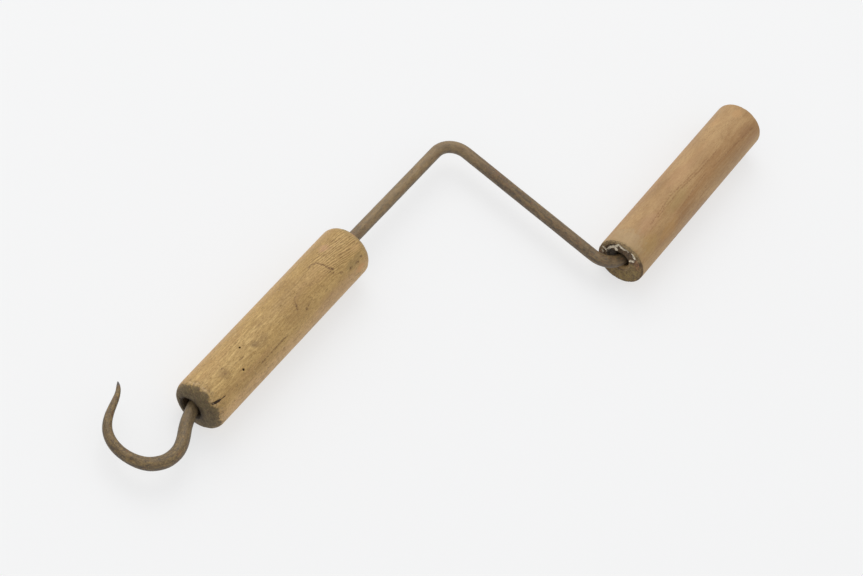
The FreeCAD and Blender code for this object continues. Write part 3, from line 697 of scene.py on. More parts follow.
# ------------------------------------------------------------------ materials
class Nodes:
    def __init__(self, name):
        self.mat = bpy.data.materials.new(name)
        self.mat.use_nodes = True
        self.t = self.mat.node_tree
        self.t.nodes.clear()
        self.out = self.t.nodes.new("ShaderNodeOutputMaterial")
        self.bsdf = self.t.nodes.new("ShaderNodeBsdfPrincipled")
        self.t.links.new(self.bsdf.outputs[0], self.out.inputs[0])

    def put(self, socket, v):
        if isinstance(v, bpy.types.NodeSocket):
            self.t.links.new(v, socket)
        elif v is not None:
            if hasattr(socket.default_value, "__len__") and not hasattr(v, "__len__"):
                v = [v] * len(socket.default_value)
            if hasattr(v, "__len__") and len(v) == 3 and len(socket.default_value) == 4:
                v = list(v) + [1.0]
            socket.default_value = v

    def math(self, op, a, b=None, c=None, clamp=False):
        n = self.t.nodes.new("ShaderNodeMath")
        n.operation, n.use_clamp = op, clamp
        for k, v in enumerate((a, b, c)):
            if v is not None:
                self.put(n.inputs[k], v)
        return n.outputs[0]

    def vmath(self, op, a, b=None):
        n = self.t.nodes.new("ShaderNodeVectorMath")
        n.operation = op
        self.put(n.inputs[0], a)
        if op == "SCALE":
            self.put(n.inputs[3], b)
        elif b is not None:
            self.put(n.inputs[1], b)
        return n.outputs["Value"] if op in ("LENGTH", "DISTANCE", "DOT_PRODUCT") else n.outputs[0]

    def noise(self, vec, scale=1.0, detail=2.0, rough=0.5, distortion=0.0, color=False):
        n = self.t.nodes.new("ShaderNodeTexNoise")
        self.put(n.inputs["Vector"], vec)
        self.put(n.inputs["Scale"], scale)
        self.put(n.inputs["Detail"], detail)
        self.put(n.inputs["Roughness"], rough)
        self.put(n.inputs["Distortion"], distortion)
        return n.outputs["Color" if color else "Fac"]

    def voronoi(self, vec, scale=1.0, feature="F1", rnd=1.0):
        n = self.t.nodes.new("ShaderNodeTexVoronoi")
        n.feature = feature
        self.put(n.inputs["Vector"], vec)
        self.put(n.inputs["Scale"], scale)
        self.put(n.inputs["Randomness"], rnd)
        return n.outputs["Distance"]

    def ramp(self, fac, stops, interp="LINEAR"):
        n = self.t.nodes.new("ShaderNodeValToRGB")
        n.color_ramp.interpolation = interp
        el = n.color_ramp.elements
        while len(el) < len(stops):
            el.new(0.5)
        for e, (p, c) in zip(el, stops):
            e.position = p
            e.color = (c if hasattr(c, "__len__") else (c, c, c)) + ((1.0,) if not hasattr(c, "__len__") or len(c) == 3 else ())
        self.put(n.inputs[0], fac)
        return n.outputs[0]

    def span(self, v, a, b, lo=0.0, hi=1.0, smooth_=True):
        n = self.t.nodes.new("ShaderNodeMapRange")
        n.interpolation_type = "SMOOTHSTEP" if smooth_ else "LINEAR"
        n.clamp = True
        for k, q in enumerate((v, a, b, lo, hi)):
            self.put(n.inputs[k], q)
        return n.outputs[0]

    def mix(self, fac, a, b, blend="MIX"):
        n = self.t.nodes.new("ShaderNodeMix")
        n.data_type, n.blend_type, n.clamp_factor = "RGBA", blend, True
        self.put(n.inputs[0], fac)
        self.put(n.inputs[6], a)
        self.put(n.inputs[7], b)
        return n.outputs[2]

    def attr(self, name):
        n = self.t.nodes.new("ShaderNodeAttribute")
        n.attribute_name = name
        return n.outputs["Fac"]

    def coords(self, centre):
        """Object coordinates in millimetres from the given point of the shared frame."""
        n = self.t.nodes.new("ShaderNodeTexCoord")
        v = self.vmath("SCALE", n.outputs["Object"], 1000.0)
        return self.vmath("SUBTRACT", v, tuple(centre))

    def split(self, v):
        n = self.t.nodes.new("ShaderNodeSeparateXYZ")
        self.put(n.inputs[0], v)
        return n.outputs

    def join(self, x, y, z):
        n = self.t.nodes.new("ShaderNodeCombineXYZ")
        for k, v in enumerate((x, y, z)):
            self.put(n.inputs[k], v)
        return n.outputs[0]

    def bump(self, height, distance, strength=1.0, normal=None):
        n = self.t.nodes.new("ShaderNodeBump")
        n.inputs["Strength"].default_value = strength
        n.inputs["Distance"].default_value = distance
        self.put(n.inputs["Height"], height)
        if normal is not None:
            self.put(n.inputs["Normal"], normal)
        return n.outputs[0]

    def capsule(self, p, a, b, width, soft):
        """1 near the segment a-b (millimetres in the coordinates p), 0 away."""
        a, b = np.array(a, float), np.array(b, float)
        ab = b - a
        L2 = float(ab @ ab)
        ap = self.vmath("SUBTRACT", p, tuple(a))
        t = self.math("DIVIDE", self.vmath("DOT_PRODUCT", ap, tuple(ab)), L2, clamp=True)
        n = self.t.nodes.new("ShaderNodeVectorMath")
        n.operation = "SCALE"
        n.inputs[0].default_value = tuple(ab)
        self.put(n.inputs[3], t)
        d = self.vmath("DISTANCE", ap, n.outputs[0])
        return self.span(d, width + soft, width - soft)


def srgb(r, g, b):
    def f(v):
        v /= 255.0
        return v / 12.92 if v <= 0.04045 else ((v + 0.055) / 1.055) ** 2.4
    return (f(r), f(g), f(b))


def wood(name, centre, pith, tilt, ring, tones, pores, seed, marks=(), stains=(), streak=0.5, lines_=0.5, zones=(), gloss=0.55, mottle=0.4):
    """Bare old wood.  Growth rings are cylinders about a pith line beside the
    piece, so that the figure, the end grain and the bore all belong together."""
    g = Nodes(name)
    p = g.coords(centre)
    s = g.split(p)
    off = (seed * 13.7, seed * 5.1, seed * 9.3)
    ps = g.vmath("ADD", p, off)
    # the same place shaken by under half a millimetre, for ragged outlines
    shake = g.vmath("SUBTRACT", g.noise(ps, 0.85, 2.0, 0.6, color=True), (0.5, 0.5, 0.5))
    pm = g.vmath("ADD", p, g.vmath("SCALE", shake, 1.9))
    # slow wander of the grain
    lowx = g.vmath("MULTIPLY", ps, (0.016, 0.030, 0.030))
    w1 = g.math("SUBTRACT", g.noise(lowx, 1.0, 2.0, 0.5), 0.5)
    w2 = g.math("SUBTRACT", g.noise(g.vmath("ADD", lowx, (7.7, 3.1, 1.9)), 1.0, 2.0, 0.5), 0.5)
    y = g.math("ADD", g.math("SUBTRACT", s[1], pith[0]), g.math("ADD", g.math("MULTIPLY", s[0], tilt[0]), g.math("MULTIPLY", w1, 9.0)))
    z = g.math("ADD", g.math("SUBTRACT", s[2], pith[1]), g.math("ADD", g.math("MULTIPLY", s[0], tilt[1]), g.math("MULTIPLY", w2, 9.0)))
    dist = g.math("SQRT", g.math("ADD", g.math("MULTIPLY", y, y), g.math("MULTIPLY", z, z)))
    fine = g.math("SUBTRACT", g.noise(g.vmath("MULTIPLY", ps, (0.05, 0.26, 0.26)), 1.0, 3.0, 0.55), 0.5)
    phase = g.math("ADD", g.math("DIVIDE", dist, ring), g.math("MULTIPLY", fine, 0.95))
    f = g.math("FRACT", phase)
    which = g.math("FLOOR", phase)
    wn = g.t.nodes.new("ShaderNodeTexWhiteNoise")
    wn.noise_dimensions = "1D"
    g.put(wn.inputs["W"], g.math("ADD", which, seed * 3.0))
    lot = wn.outputs["Value"]
    early = g.math("MULTIPLY", g.span(f, 0.0, 0.12), g.span(f, 0.60, 0.18))
    late = g.math("MULTIPLY", g.span(f, 0.52, 0.86), g.span(f, 1.0, 0.90))
    # lines come and go along the piece, and break into short lengths
    fade = g.span(g.noise(g.vmath("MULTIPLY", ps, (0.035, 0.14, 0.14)), 1.0, 2.0, 0.5), 0.34, 0.62, 0.15, 1.0)
    brk = g.span(g.noise(g.vmath("MULTIPLY", ps, (0.36, 0.9, 0.9)), 1.0, 3.0, 0.62), 0.38, 0.60, 0.10, 1.0)
    late = g.math("MULTIPLY", g.math("MULTIPLY", late, fade), brk)
    # vessels: fine dark dashes along the grain, more of them in the early wood
    dash = g.noise(g.vmath("MULTIPLY", ps, (0.36, 1.45, 1.45)), 1.0, 2.0, 0.58, 0.2)
    dash2 = g.noise(g.vmath("MULTIPLY", ps, (0.75, 2.4, 2.4)), 1.0, 1.0, 0.5)
    vessel = g.math("MULTIPLY", g.span(dash, 0.54, 0.68), g.math("ADD", 0.35, g.math("MULTIPLY", early, 0.65)))
    vessel = g.math("MAXIMUM", vessel, g.math("MULTIPLY", g.span(dash2, 0.58, 0.72), g.math("ADD", 0.40, g.math("MULTIPLY", early, 0.5))))
    vessel = g.math("MULTIPLY", vessel, pores)
    fib = g.noise(g.vmath("MULTIPLY", ps, (0.12, 1.5, 1.5)), 1.0, 3.0, 0.62, 0.2)
    patch = g.noise(g.vmath("MULTIPLY", ps, (0.024, 0.060, 0.060)), 1.0, 4.0, 0.60, 0.5)
    patch2 = g.noise(g.vmath("MULTIPLY", ps, (0.016, 0.13, 0.13)), 1.0, 3.0, 0.55)
    blot = g.noise(g.vmath("MULTIPLY", ps, (0.11, 0.19, 0.19)), 1.0, 4.0, 0.62, 0.3)
    # close mottling, a little longer than wide, with flecks lifted lighter
    mott = g.noise(g.vmath("MULTIPLY", g.vmath("ADD", ps, (3.0, 11.0, 6.0)), (0.34, 0.66, 0.66)), 1.0, 4.0, 0.70, 0.3)
    mott2 = g.noise(g.vmath("MULTIPLY", g.vmath("ADD", ps, (21.0, 1.0, 16.0)), (0.62, 0.86, 0.86)), 1.0, 3.0, 0.66, 0.2)
    base = g.ramp(patch, [(0.30, tones["deep"]), (0.50, tones["mid"]), (0.70, tones["light"])])
    base = g.mix(g.math("MULTIPLY", g.span(patch2, 0.50, 0.66), streak), base, tones["red"])
    base = g.mix(g.math("MULTIPLY", g.span(blot, 0.56, 0.72), 0.35), base, tones["deep"])
    base = g.mix(g.math("MULTIPLY", g.span(blot, 0.42, 0.30), 0.30), base, tones["light"])
    for key, tone, strength in zones:
        z_ = g.attr(key)
        if key == "streaky":
            # light short streaks in the worn hook half
            st = g.noise(g.vmath("MULTIPLY", ps, (0.085, 0.60, 0.60)), 1.0, 3.0, 0.58, 0.3)
            z_ = g.math("MULTIPLY", z_, g.span(st, 0.48, 0.64))
        elif key == "ripple":
            # close wavy lines, partly across the growth rings
            rp = g.math("ADD", g.math("DIVIDE", g.math("ADD", dist, g.math("MULTIPLY", s[0], 0.10)), 1.62), g.math("MULTIPLY", fine, 2.4))
            rf = g.math("FRACT", rp)
            keep = g.span(brk, 0.10, 0.65, 0.35, 1.0)
            light = g.math("MULTIPLY", g.math("MULTIPLY", g.span(rf, 0.0, 0.10), g.span(rf, 0.50, 0.36)), g.math("MULTIPLY", z_, keep))
            base = g.mix(g.math("MULTIPLY", light, strength * 0.8), base, tones["flash"])
            z_ = g.math("MULTIPLY", z_, g.math("MULTIPLY", g.math("MULTIPLY", g.span(rf, 0.46, 0.60), g.span(rf, 1.0, 0.88)), keep))
        elif key == "heart":
            hs = g.noise(g.vmath("MULTIPLY", ps, (0.022, 0.42, 0.42)), 1.0, 3.0, 0.6)
            z_ = g.math("MULTIPLY", z_, g.span(hs, 0.30, 0.62, 0.25, 1.0))
        else:
            z_ = g.math("MULTIPLY", z_, g.span(blot, 0.30, 0.62, 0.55, 1.0))
        base = g.mix(g.math("MULTIPLY", z_, strength), base, tone)
    base = g.mix(g.math("MULTIPLY", late, g.math("ADD", lines_ * 0.45, g.math("MULTIPLY", lot, lines_))), base, tones["line"])
    base = g.mix(g.math("MULTIPLY", early, lines_ * 0.35), base, tones["light"])
    base = g.mix(g.math("MULTIPLY", g.span(fib, 0.46, 0.70), 0.30), base, tones["line"])
    base = g.mix(g.math("MULTIPLY", g.span(fib, 0.42, 0.26), 0.24), base, tones["light"])
    base = g.mix(g.math("MULTIPLY", g.span(mott, 0.52, 0.68), mottle), base, tones["mottle"])
    base = g.mix(g.math("MULTIPLY", g.span(mott, 0.46, 0.30), mottle * 0.8), base, tones["flash"])
    base = g.mix(g.math("MULTIPLY", g.span(mott2, 0.56, 0.68), mottle * 0.9), base, tones["line"])
    base = g.mix(g.math("MULTIPLY", vessel, 0.66), base, tones["pore"])
    height = g.math("SUBTRACT", g.math("ADD", g.math("MULTIPLY", fib, 0.35), g.math("MULTIPLY", late, 0.25)), g.math("MULTIPLY", vessel, 1.0))
    # end grain
    end = g.attr("endgrain")
    speck = g.noise(g.vmath("MULTIPLY", ps, (0.35, 1.5, 1.5)), 1.0, 3.0, 0.6)
    endcol = g.mix(g.span(speck, 0.42, 0.62), tones["end_dark"], tones["end_light"])
    endcol = g.mix(g.math("MULTIPLY", early, 0.45), endcol, tones["end_dark"])
    base = g.mix(end, base, endcol)
    # stains: soft dark patches
    for c, radii, strength, tone in stains:
        q = g.vmath("DIVIDE", g.vmath("SUBTRACT", p, tuple(c)), tuple(radii))
        d = g.vmath("LENGTH", q)
        br = g.noise(g.vmath("MULTIPLY", ps, (0.22, 0.40, 0.40)), 1.0, 4.0, 0.65)
        m = g.span(g.math("ADD", d, g.math("MULTIPLY", g.math("SUBTRACT", br, 0.5), 1.6)), 1.15, 0.45)
        base = g.mix(g.math("MULTIPLY", m, strength), base, tone)
    # grime on the ends and round the bore
    dirt = g.attr("dirt")
    dn = g.noise(g.vmath("MULTIPLY", ps, (0.30, 0.30, 0.30)), 1.0, 4.0, 0.62)
    dcol = g.mix(g.span(dn, 0.38, 0.62), tones["grime"], tones["grime2"])
    grit = g.noise(g.vmath("ADD", p, (5.0, 2.0, 9.0)), 1.1, 3.0, 0.62)
    grit2 = g.noise(g.vmath("ADD", p, (15.0, 22.0, 1.0)), 0.62, 4.0, 0.68)
    dcol = g.mix(g.math("MULTIPLY", g.span(grit, 0.50, 0.64), 0.50), dcol, tones["grime3"])
    dcol = g.mix(g.math("MULTIPLY", g.span(grit2, 0.50, 0.62), 0.60), dcol, tones["grime4"])
    # its outline breaks up into specks
    soil = g.span(g.math("ADD", dirt, g.math("MULTIPLY", g.math("SUBTRACT", grit2, 0.5), 2.4)), -0.06, 1.08)
    soil = g.math("MINIMUM", soil, g.math("MULTIPLY", dirt, 2.2))
    base = g.mix(g.math("MULTIPLY", soil, g.span(dn, 0.15, 0.60, 0.78, 0.97)), base, dcol)
    for key in ("rimtan", "olive", "red"):
        if key in tones["face"]:
            z_ = g.math("MULTIPLY", g.attr(key), g.span(grit2, 0.40, 0.60, 0.25, 1.0))
            base = g.mix(z_, base, tones["face"][key])
    dark = None
    for a, b, width, strength in marks:
        k = g.math("MULTIPLY", g.capsule(pm, a, b, width, width * 0.85), strength)
        dark = k if dark is None else g.math("MAXIMUM", dark, k)
    if dark is not None:
        wob = g.noise(g.vmath("MULTIPLY", ps, (0.8, 0.8, 0.8)), 1.0, 3.0, 0.6)
        dark = g.math("MULTIPLY", dark, g.span(wob, 0.38, 0.54, 0.15, 1.0))
        base = g.mix(dark, base, tones["ink"])
    # painted shade: recesses in the cavity mask are darkened to the hole tone
    cav = g.attr("cavity")
    base = g.mix(g.span(cav, 0.12, 0.85), base, tones["hole"])
    bore = g.attr("bore")
    base = g.mix(bore, base, g.mix(g.span(dn, 0.35, 0.62), tones["bore"], tones["bore2"]))
    # painted shade from the shade mask, in the bore's dark tone
    base = g.mix(g.math("MULTIPLY", g.attr("shade"), g.span(grit2, 0.30, 0.62, 0.70, 0.95)), base, tones["bore"])
    pale = g.attr("pale")
    base = g.mix(g.math("MULTIPLY", pale, g.span(grit, 0.25, 0.50, 0.62, 1.0)), base, tones["pale"])
    g.put(g.bsdf.inputs["Base Color"], base)
    rough = g.math("ADD", g.math("MULTIPLY", g.span(patch, 0.3, 0.7), 0.12), g.math("ADD", gloss - 0.06, g.math("MULTIPLY", dirt, 0.20)))
    g.put(g.bsdf.inputs["Roughness"], g.math("ADD", rough, g.math("MULTIPLY", vessel, 0.2)))
    g.bsdf.inputs["Specular IOR Level"].default_value = 0.42
    tiny = g.noise(p, 3.0, 3.0, 0.6)
    h2 = g.math("ADD", height, g.math("MULTIPLY", tiny, g.math("ADD", 0.12, g.math("MULTIPLY", dirt, 0.9))))
    g.put(g.bsdf.inputs["Normal"], g.bump(h2, 0.00016, 0.8))
    return g.mat


def iron(name, hooky=True):
    """Forge-scaled iron gone brown: thin even rust, darker scale, a few orange
    blooms and places where handling has brought up the metal."""
    g = Nodes(name)
    p = g.coords((0.0, 0.0, 0.0))
    al = g.attr("along")
    if hooky:
        # place along and round the bar, in millimetres
        q = g.vmath("SCALE", g.join(al, g.attr("ru"), g.attr("rv")), 1000.0)
    else:
        q = p
    big = g.noise(g.vmath("MULTIPLY", q, (0.028, 0.10, 0.10)), 1.0, 3.0, 0.55, 0.3)
    mid = g.noise(g.vmath("MULTIPLY", q, (0.11, 0.32, 0.32)), 1.0, 4.0, 0.62, 0.2)
    fine = g.noise(p, 1.1, 4.0, 0.62)
    streak = g.noise(g.vmath("MULTIPLY", q, (0.085, 0.95, 0.95)), 1.0, 3.0, 0.6, 0.2)
    streak2 = g.noise(g.vmath("MULTIPLY", g.vmath("ADD", q, (57.0, 3.0, 8.0)), (0.16, 1.25, 1.25)), 1.0, 2.0, 0.55)
    speck = g.noise(g.vmath("ADD", p, (31.0, 7.0, 3.0)), 0.75, 3.0, 0.55)
    # patches about as wide as the bar's own scale, across and along it alike
    flake_ = g.noise(g.vmath("MULTIPLY", g.vmath("ADD", q, (9.0, 41.0, 2.0)), (0.34, 0.62, 0.62)), 1.0, 4.0, 0.66, 0.4)
    warm = g.noise(g.vmath("MULTIPLY", g.vmath("ADD", q, (19.0, 4.0, 22.0)), (0.20, 0.40, 0.40)), 1.0, 3.0, 0.60, 0.4)
    base = g.ramp(mid, [(0.30, srgb(92, 77, 56)), (0.46, srgb(114, 95, 68)), (0.60, srgb(130, 108, 76)), (0.76, srgb(146, 121, 82))])
    base = g.mix(g.span(big, 0.44, 0.66, 0.0, 0.60), base, g.ramp(fine, [(0.35, srgb(90, 73, 55)), (0.65, srgb(126, 101, 73))]))
    # drawn streaks along the bar: golden rubbed ones, dark scale, a little red rust
    base = g.mix(g.math("MULTIPLY", g.span(streak, 0.55, 0.68), 0.50), base, srgb(152, 125, 82))
    base = g.mix(g.math("MULTIPLY", g.span(streak, 0.43, 0.30), 0.60), base, srgb(64, 55, 44))
    base = g.mix(g.math("MULTIPLY", g.span(streak2, 0.60, 0.72), 0.45), base, srgb(132, 88, 60))
    base = g.mix(g.math("MULTIPLY", g.span(flake_, 0.54, 0.66), 0.50), base, srgb(146, 122, 84))
    base = g.mix(g.math("MULTIPLY", g.span(flake_, 0.46, 0.34), 0.55), base, srgb(66, 58, 50))
    base = g.mix(g.math("MULTIPLY", g.span(warm, 0.58, 0.68), 0.45), base, srgb(132, 86, 56))
    base = g.mix(g.math("MULTIPLY", g.span(warm, 0.40, 0.32), 0.40), base, srgb(88, 84, 78))
    base = g.mix(g.math("MULTIPLY", g.span(fine, 0.46, 0.30), 0.50), base, srgb(52, 44, 36))
    base = g.mix(g.math("MULTIPLY", g.span(speck, 0.64, 0.72), 0.55), base, srgb(146, 94, 54))
    base = g.mix(g.math("MULTIPLY", g.span(speck, 0.30, 0.24), 0.40), base, srgb(160, 142, 112))
    cav = g.attr("cavity")
    base = g.mix(g.math("MULTIPLY", cav, 0.40), base, srgb(48, 40, 32))
    if hooky:
        # the hook is handled: browner, with red, dull gold and grey together
        hk = g.span(al, 0.158, 0.120)
        tone = g.ramp(mid, [(0.30, srgb(84, 67, 44)), (0.48, srgb(110, 90, 58)), (0.66, srgb(130, 107, 69))])
        tone = g.mix(g.math("MULTIPLY", g.span(flake_, 0.53, 0.64), 0.60), tone, srgb(158, 131, 80))
        tone = g.mix(g.math("MULTIPLY", g.span(flake_, 0.47, 0.36), 0.65), tone, srgb(64, 53, 42))
        tone = g.mix(g.math("MULTIPLY", g.span(warm, 0.57, 0.68), 0.50), tone, srgb(130, 88, 58))
        tone = g.mix(g.math("MULTIPLY", g.span(streak, 0.46, 0.32), 0.40), tone, srgb(72, 60, 47))
        tone = g.mix(g.math("MULTIPLY", g.span(fine, 0.53, 0.66), 0.40), tone, srgb(158, 134, 88))
        tone = g.mix(g.math("MULTIPLY", g.span(fine, 0.47, 0.34), 0.50), tone, srgb(62, 50, 40))
        base = g.mix(g.math("MULTIPLY", hk, 0.82), base, tone)
        # the open part of the spindle is rubbed a little brighter
        open_ = g.math("MULTIPLY", g.span(al, 0.300, 0.335), g.span(al, 0.470, 0.440))
        base = g.mix(g.math("MULTIPLY", open_, g.span(mid, 0.30, 0.65, 0.20, 0.40)), base, srgb(164, 138, 98))
        neck = g.math("MULTIPLY", g.span(al, 0.098, 0.116), g.span(al, 0.160, 0.142))
        base = g.mix(g.math("MULTIPLY", neck, g.span(mid, 0.30, 0.62, 0.25, 0.60)), base, srgb(122, 104, 76))
        tipk = g.span(al, 0.0050, 0.0018)
        base = g.mix(g.math("MULTIPLY", tipk, 0.70), base, srgb(80, 82, 86))
        # painted shade along the in-plane sides, broken up by the scale pattern
        base = g.mix(g.math("MULTIPLY", g.span(g.attr("side_shade"), 0.72, 1.0), g.span(flake_, 0.34, 0.60, 0.62, 0.30)), base, srgb(54, 47, 42))
        # grease inside the sleeves, and painted shade on the bar at their mouths
        base = g.mix(g.math("MULTIPLY", g.attr("grease_and_mouth_shade"), 0.80), base, srgb(48, 36, 27))
    g.put(g.bsdf.inputs["Base Color"], base)
    shine = g.span(g.noise(g.vmath("ADD", p, (3.0, 17.0, 5.0)), 0.20, 3.0, 0.6), 0.54, 0.70)
    g.put(g.bsdf.inputs["Metallic"], g.math("MULTIPLY", shine, 0.40))
    g.put(g.bsdf.inputs["Roughness"], g.math("SUBTRACT", g.math("ADD", 0.38, g.math("MULTIPLY", fine, 0.26)), g.math("MULTIPLY", shine, 0.14)))
    g.bsdf.inputs["Specular IOR Level"].default_value = 0.5
    h = g.math("ADD", g.math("MULTIPLY", fine, 0.6), g.math("ADD", g.math("MULTIPLY", mid, 0.8), g.math("MULTIPLY", g.noise(p, 3.2, 2.0, 0.5), 0.30)))
    h = g.math("ADD", h, g.math("MULTIPLY", streak, 0.7))
    g.put(g.bsdf.inputs["Normal"], g.bump(h, 0.00022, 0.8))
    return g.mat


def plain(name, color, rough):
    g = Nodes(name)
    p = g.coords((0.0, 0.0, 0.0))
    n = g.noise(p, 0.004, 2.0, 0.5)
    g.put(g.bsdf.inputs["Base Color"], g.mix(g.span(n, 0.3, 0.7), tuple(c * 0.993 for c in color), color))
    g.bsdf.inputs["Roughness"].default_value = rough
    g.bsdf.inputs["Specular IOR Level"].default_value = 0.2
    return g.mat


# --------------------------------------------------------------------- pieces
bar = make_bar()
handle = make_bearing_handle()
grip = make_crank_grip()
washer = make_washer()

BH_C = np.array([(BH_X0 + BH_X1) / 2, (BH_OFF_Y0 + BH_OFF_Y1) / 2, BH_OFF_Z]) + SHIFT
CG_C = np.array([(CG_X0 + CG_X1) / 2, ARM_END[1], 0.0]) + SHIFT


def bh_mark(x, ang, r=19.6):
    """A point on the bearing handle's outside, measured from its middle."""
    t = (x - BH_X0) / (BH_X1 - BH_X0)
    a = math.radians(ang)
    return np.array([x, BH_OFF_Y0 + (BH_OFF_Y1 - BH_OFF_Y0) * t + r * math.cos(a), BH_OFF_Z + r * math.sin(a)]) + SHIFT - BH_C


def chain(pts, width, strength):
    q = [bh_mark(*p) for p in pts]
    return [(a, b, width, strength) for a, b in zip(q[:-1], q[1:])]


def cg_mark(x, ang, r=19.0):
    """A point on the crank grip's outside, measured from its middle."""
    a = math.radians(ang)
    return np.array([x, ARM_END[1] + r * math.cos(a), r * math.sin(a)]) + SHIFT - CG_C


def cg_chain(pts, width, strength):
    q = [cg_mark(*p) for p in pts]
    return [(a, b, width, strength) for a, b in zip(q[:-1], q[1:])]


marks = []
# curved scratch and the dots that carry it on
marks += chain([(-173.4, 67.0), (-170.4, 64.5), (-166.4, 70.0)], 0.55, 0.62)
marks += chain([(-166.4, 70.0), (-164.6, 82.0), (-163.4, 93.0)], 0.58, 0.85)
marks += chain([(-163.4, 93.0), (-162.8, 98.5), (-161.6, 104.0)], 1.00, 0.82)
marks += chain([(-165.6, 101.0), (-164.6, 103.0)], 0.75, 0.75)
marks += chain([(-163.6, 109.5), (-162.8, 110.5)], 0.70, 0.62)
for x_, a_ in ((-158.4, 122.2), (-149.6, 130.5), (-142.4, 132.0), (-137.2, 129.0)):
    marks += chain([(x_, a_), (x_ + 1.6, a_ + 0.8)], 0.85, 0.75)
# flecks where the grain has lifted
marks += chain([(-197.6, 87.8), (-200.8, 91.5), (-202.4, 100.0)], 0.46, 0.40)
marks += chain([(-202.4, 100.0), (-204.0, 108.0)], 0.80, 0.80)
marks += chain([(-191.2, 108.0), (-188.8, 114.0), (-194.4, 118.5)], 0.46, 0.38)
marks += chain([(-195.0, 118.8), (-198.0, 122.2)], 0.78, 0.76)
marks += chain([(-184.0, 92.0), (-181.5, 93.5)], 0.60, 0.40)
marks += chain([(-214.5, 104.0), (-212.0, 104.4)], 0.60, 0.38)
marks += chain([(-234.0, 74.0), (-231.0, 74.6)], 0.60, 0.35)
# drying crack, broken up
marks += chain([(-251.0, 131.2), (-244.0, 130.7)], 0.55, 0.66)
marks += chain([(-242.0, 130.6), (-231.0, 130.4), (-222.6, 130.5)], 0.50, 0.78)
marks += chain([(-144.8, 58.5), (-142.4, 66.0)], 0.46, 0.50)
marks += chain([(-161.6, 64.5), (-158.4, 63.0)], 0.46, 0.50)
marks += chain([(-262.8, 93.8), (-259.2, 94.6)], 0.44, 0.62)
marks += chain([(-266.6, 92.6), (-265.4, 92.8)], 0.40, 0.45)
marks += chain([(-276.8, 80.2), (-275.0, 81.0)], 0.60, 0.55)
marks += chain([(-278.4, 91.5), (-277.2, 92.0)], 0.55, 0.50)
marks += chain([(-279.6, 99.8), (-278.2, 99.9)], 0.55, 0.50)
marks += chain([(-268.4, 110.6), (-266.8, 110.2)], 0.34, 0.45)
marks += chain([(-247.6, 93.0), (-246.4, 95.6)], 0.60, 0.50)
marks += chain([(-255.0, 62.0), (-253.0, 63.0)], 0.45, 0.35)
marks += chain([(-263.0, 121.0), (-261.8, 121.6)], 0.40, 0.35)

stains = [
    (bh_mark(-146.5, 127.5, 19.0), (6.5, 4.0, 4.0), 0.32, srgb(126, 110, 70)),
    (bh_mark(-138.0, 123.5, 17.8), (4.5, 4.0, 4.0), 0.30, srgb(124, 108, 70)),
    (bh_mark(-140.5, 150.5, 18.6), (6.5, 3.6, 3.6), 0.65, srgb(200, 146, 88)),
    (bh_mark(-128.5, 84.0, 15.0), (4.0, 3.6, 3.6), 0.60, srgb(186, 128, 84)),
    (bh_mark(-130.5, 62.0, 16.0), (4.0, 3.0, 3.0), 0.55, srgb(126, 116, 72)),
    (bh_mark(-152.0, 60.0, 19.4), (5.0, 4.0, 4.0), 0.45, srgb(194, 148, 116)),
    (bh_mark(-136.0, 108.0, 19.0), (5.5, 3.6, 3.6), 0.40, srgb(206, 166, 112)),
    (bh_mark(-246.8, 93.8, 19.0), (3.6, 3.0, 3.0), 0.50, srgb(122, 94, 56)),
    (bh_mark(-240.4, 99.8, 19.0), (8.0, 4.5, 4.5), 0.34, srgb(142, 112, 72)),
    (bh_mark(-278.2, 90.5, 19.0), (5.0, 4.5, 4.5), 0.36, srgb(134, 104, 62)),
    (bh_mark(-170.0, 152.0, 19.0), (24.0, 8.0, 8.0), 0.22, srgb(156, 122, 90)),
    (bh_mark(-205.0, 118.0, 19.0), (20.0, 7.0, 7.0), 0.22, srgb(156, 122, 78)),
]

grip_marks = []
for w_ in (((41.1, 89.2), (73.5, 81.0), (104.3, 86.8), (122.5, 88.4)), ((50.7, 90.8), (81.9, 88.0), (108.3, 93.6), (133.9, 93.0))):
    grip_marks += cg_chain(w_, 0.42, 0.56)
grip_marks += cg_chain([(120.0, 112.0), (145.0, 116.0), (171.0, 121.5)], 0.46, 0.52)
grip_marks += cg_chain([(172.6, 121.0), (175.6, 123.2)], 0.80, 0.62)
grip_marks += cg_chain([(66.0, 118.0), (88.0, 112.0), (112.0, 108.0)], 0.42, 0.42)
grip_stains = [
    (cg_mark(175.5, 74.2, 18.6), (6.0, 4.0, 4.0), 0.26, srgb(198, 148, 94)),
    (cg_mark(159.1, 42.0, 18.6), (7.0, 3.6, 3.6), 0.22, srgb(198, 148, 94)),
    (cg_mark(168.0, 112.0, 18.6), (9.0, 4.0, 4.0), 0.30, srgb(140, 98, 64)),
    (cg_mark(28.0, 118.0, 18.6), (12.0, 7.0, 7.0), 0.40, srgb(178, 144, 84)),
    (cg_mark(52.0, 132.0, 18.6), (14.0, 6.0, 6.0), 0.42, srgb(184, 140, 80)),
    (cg_mark(40.0, 84.0, 18.6), (15.0, 6.0, 6.0), 0.30, srgb(178, 138, 104)),
    (cg_mark(74.0, 96.0, 18.6), (18.0, 6.0, 6.0), 0.30, srgb(168, 144, 88)),
    (cg_mark(96.0, 64.0, 18.6), (20.0, 7.0, 7.0), 0.26, srgb(184, 140, 100)),
    (cg_mark(19.0, 70.0, 16.0), (12.0, 16.0, 16.0), 0.45, srgb(182, 158, 122)),
]

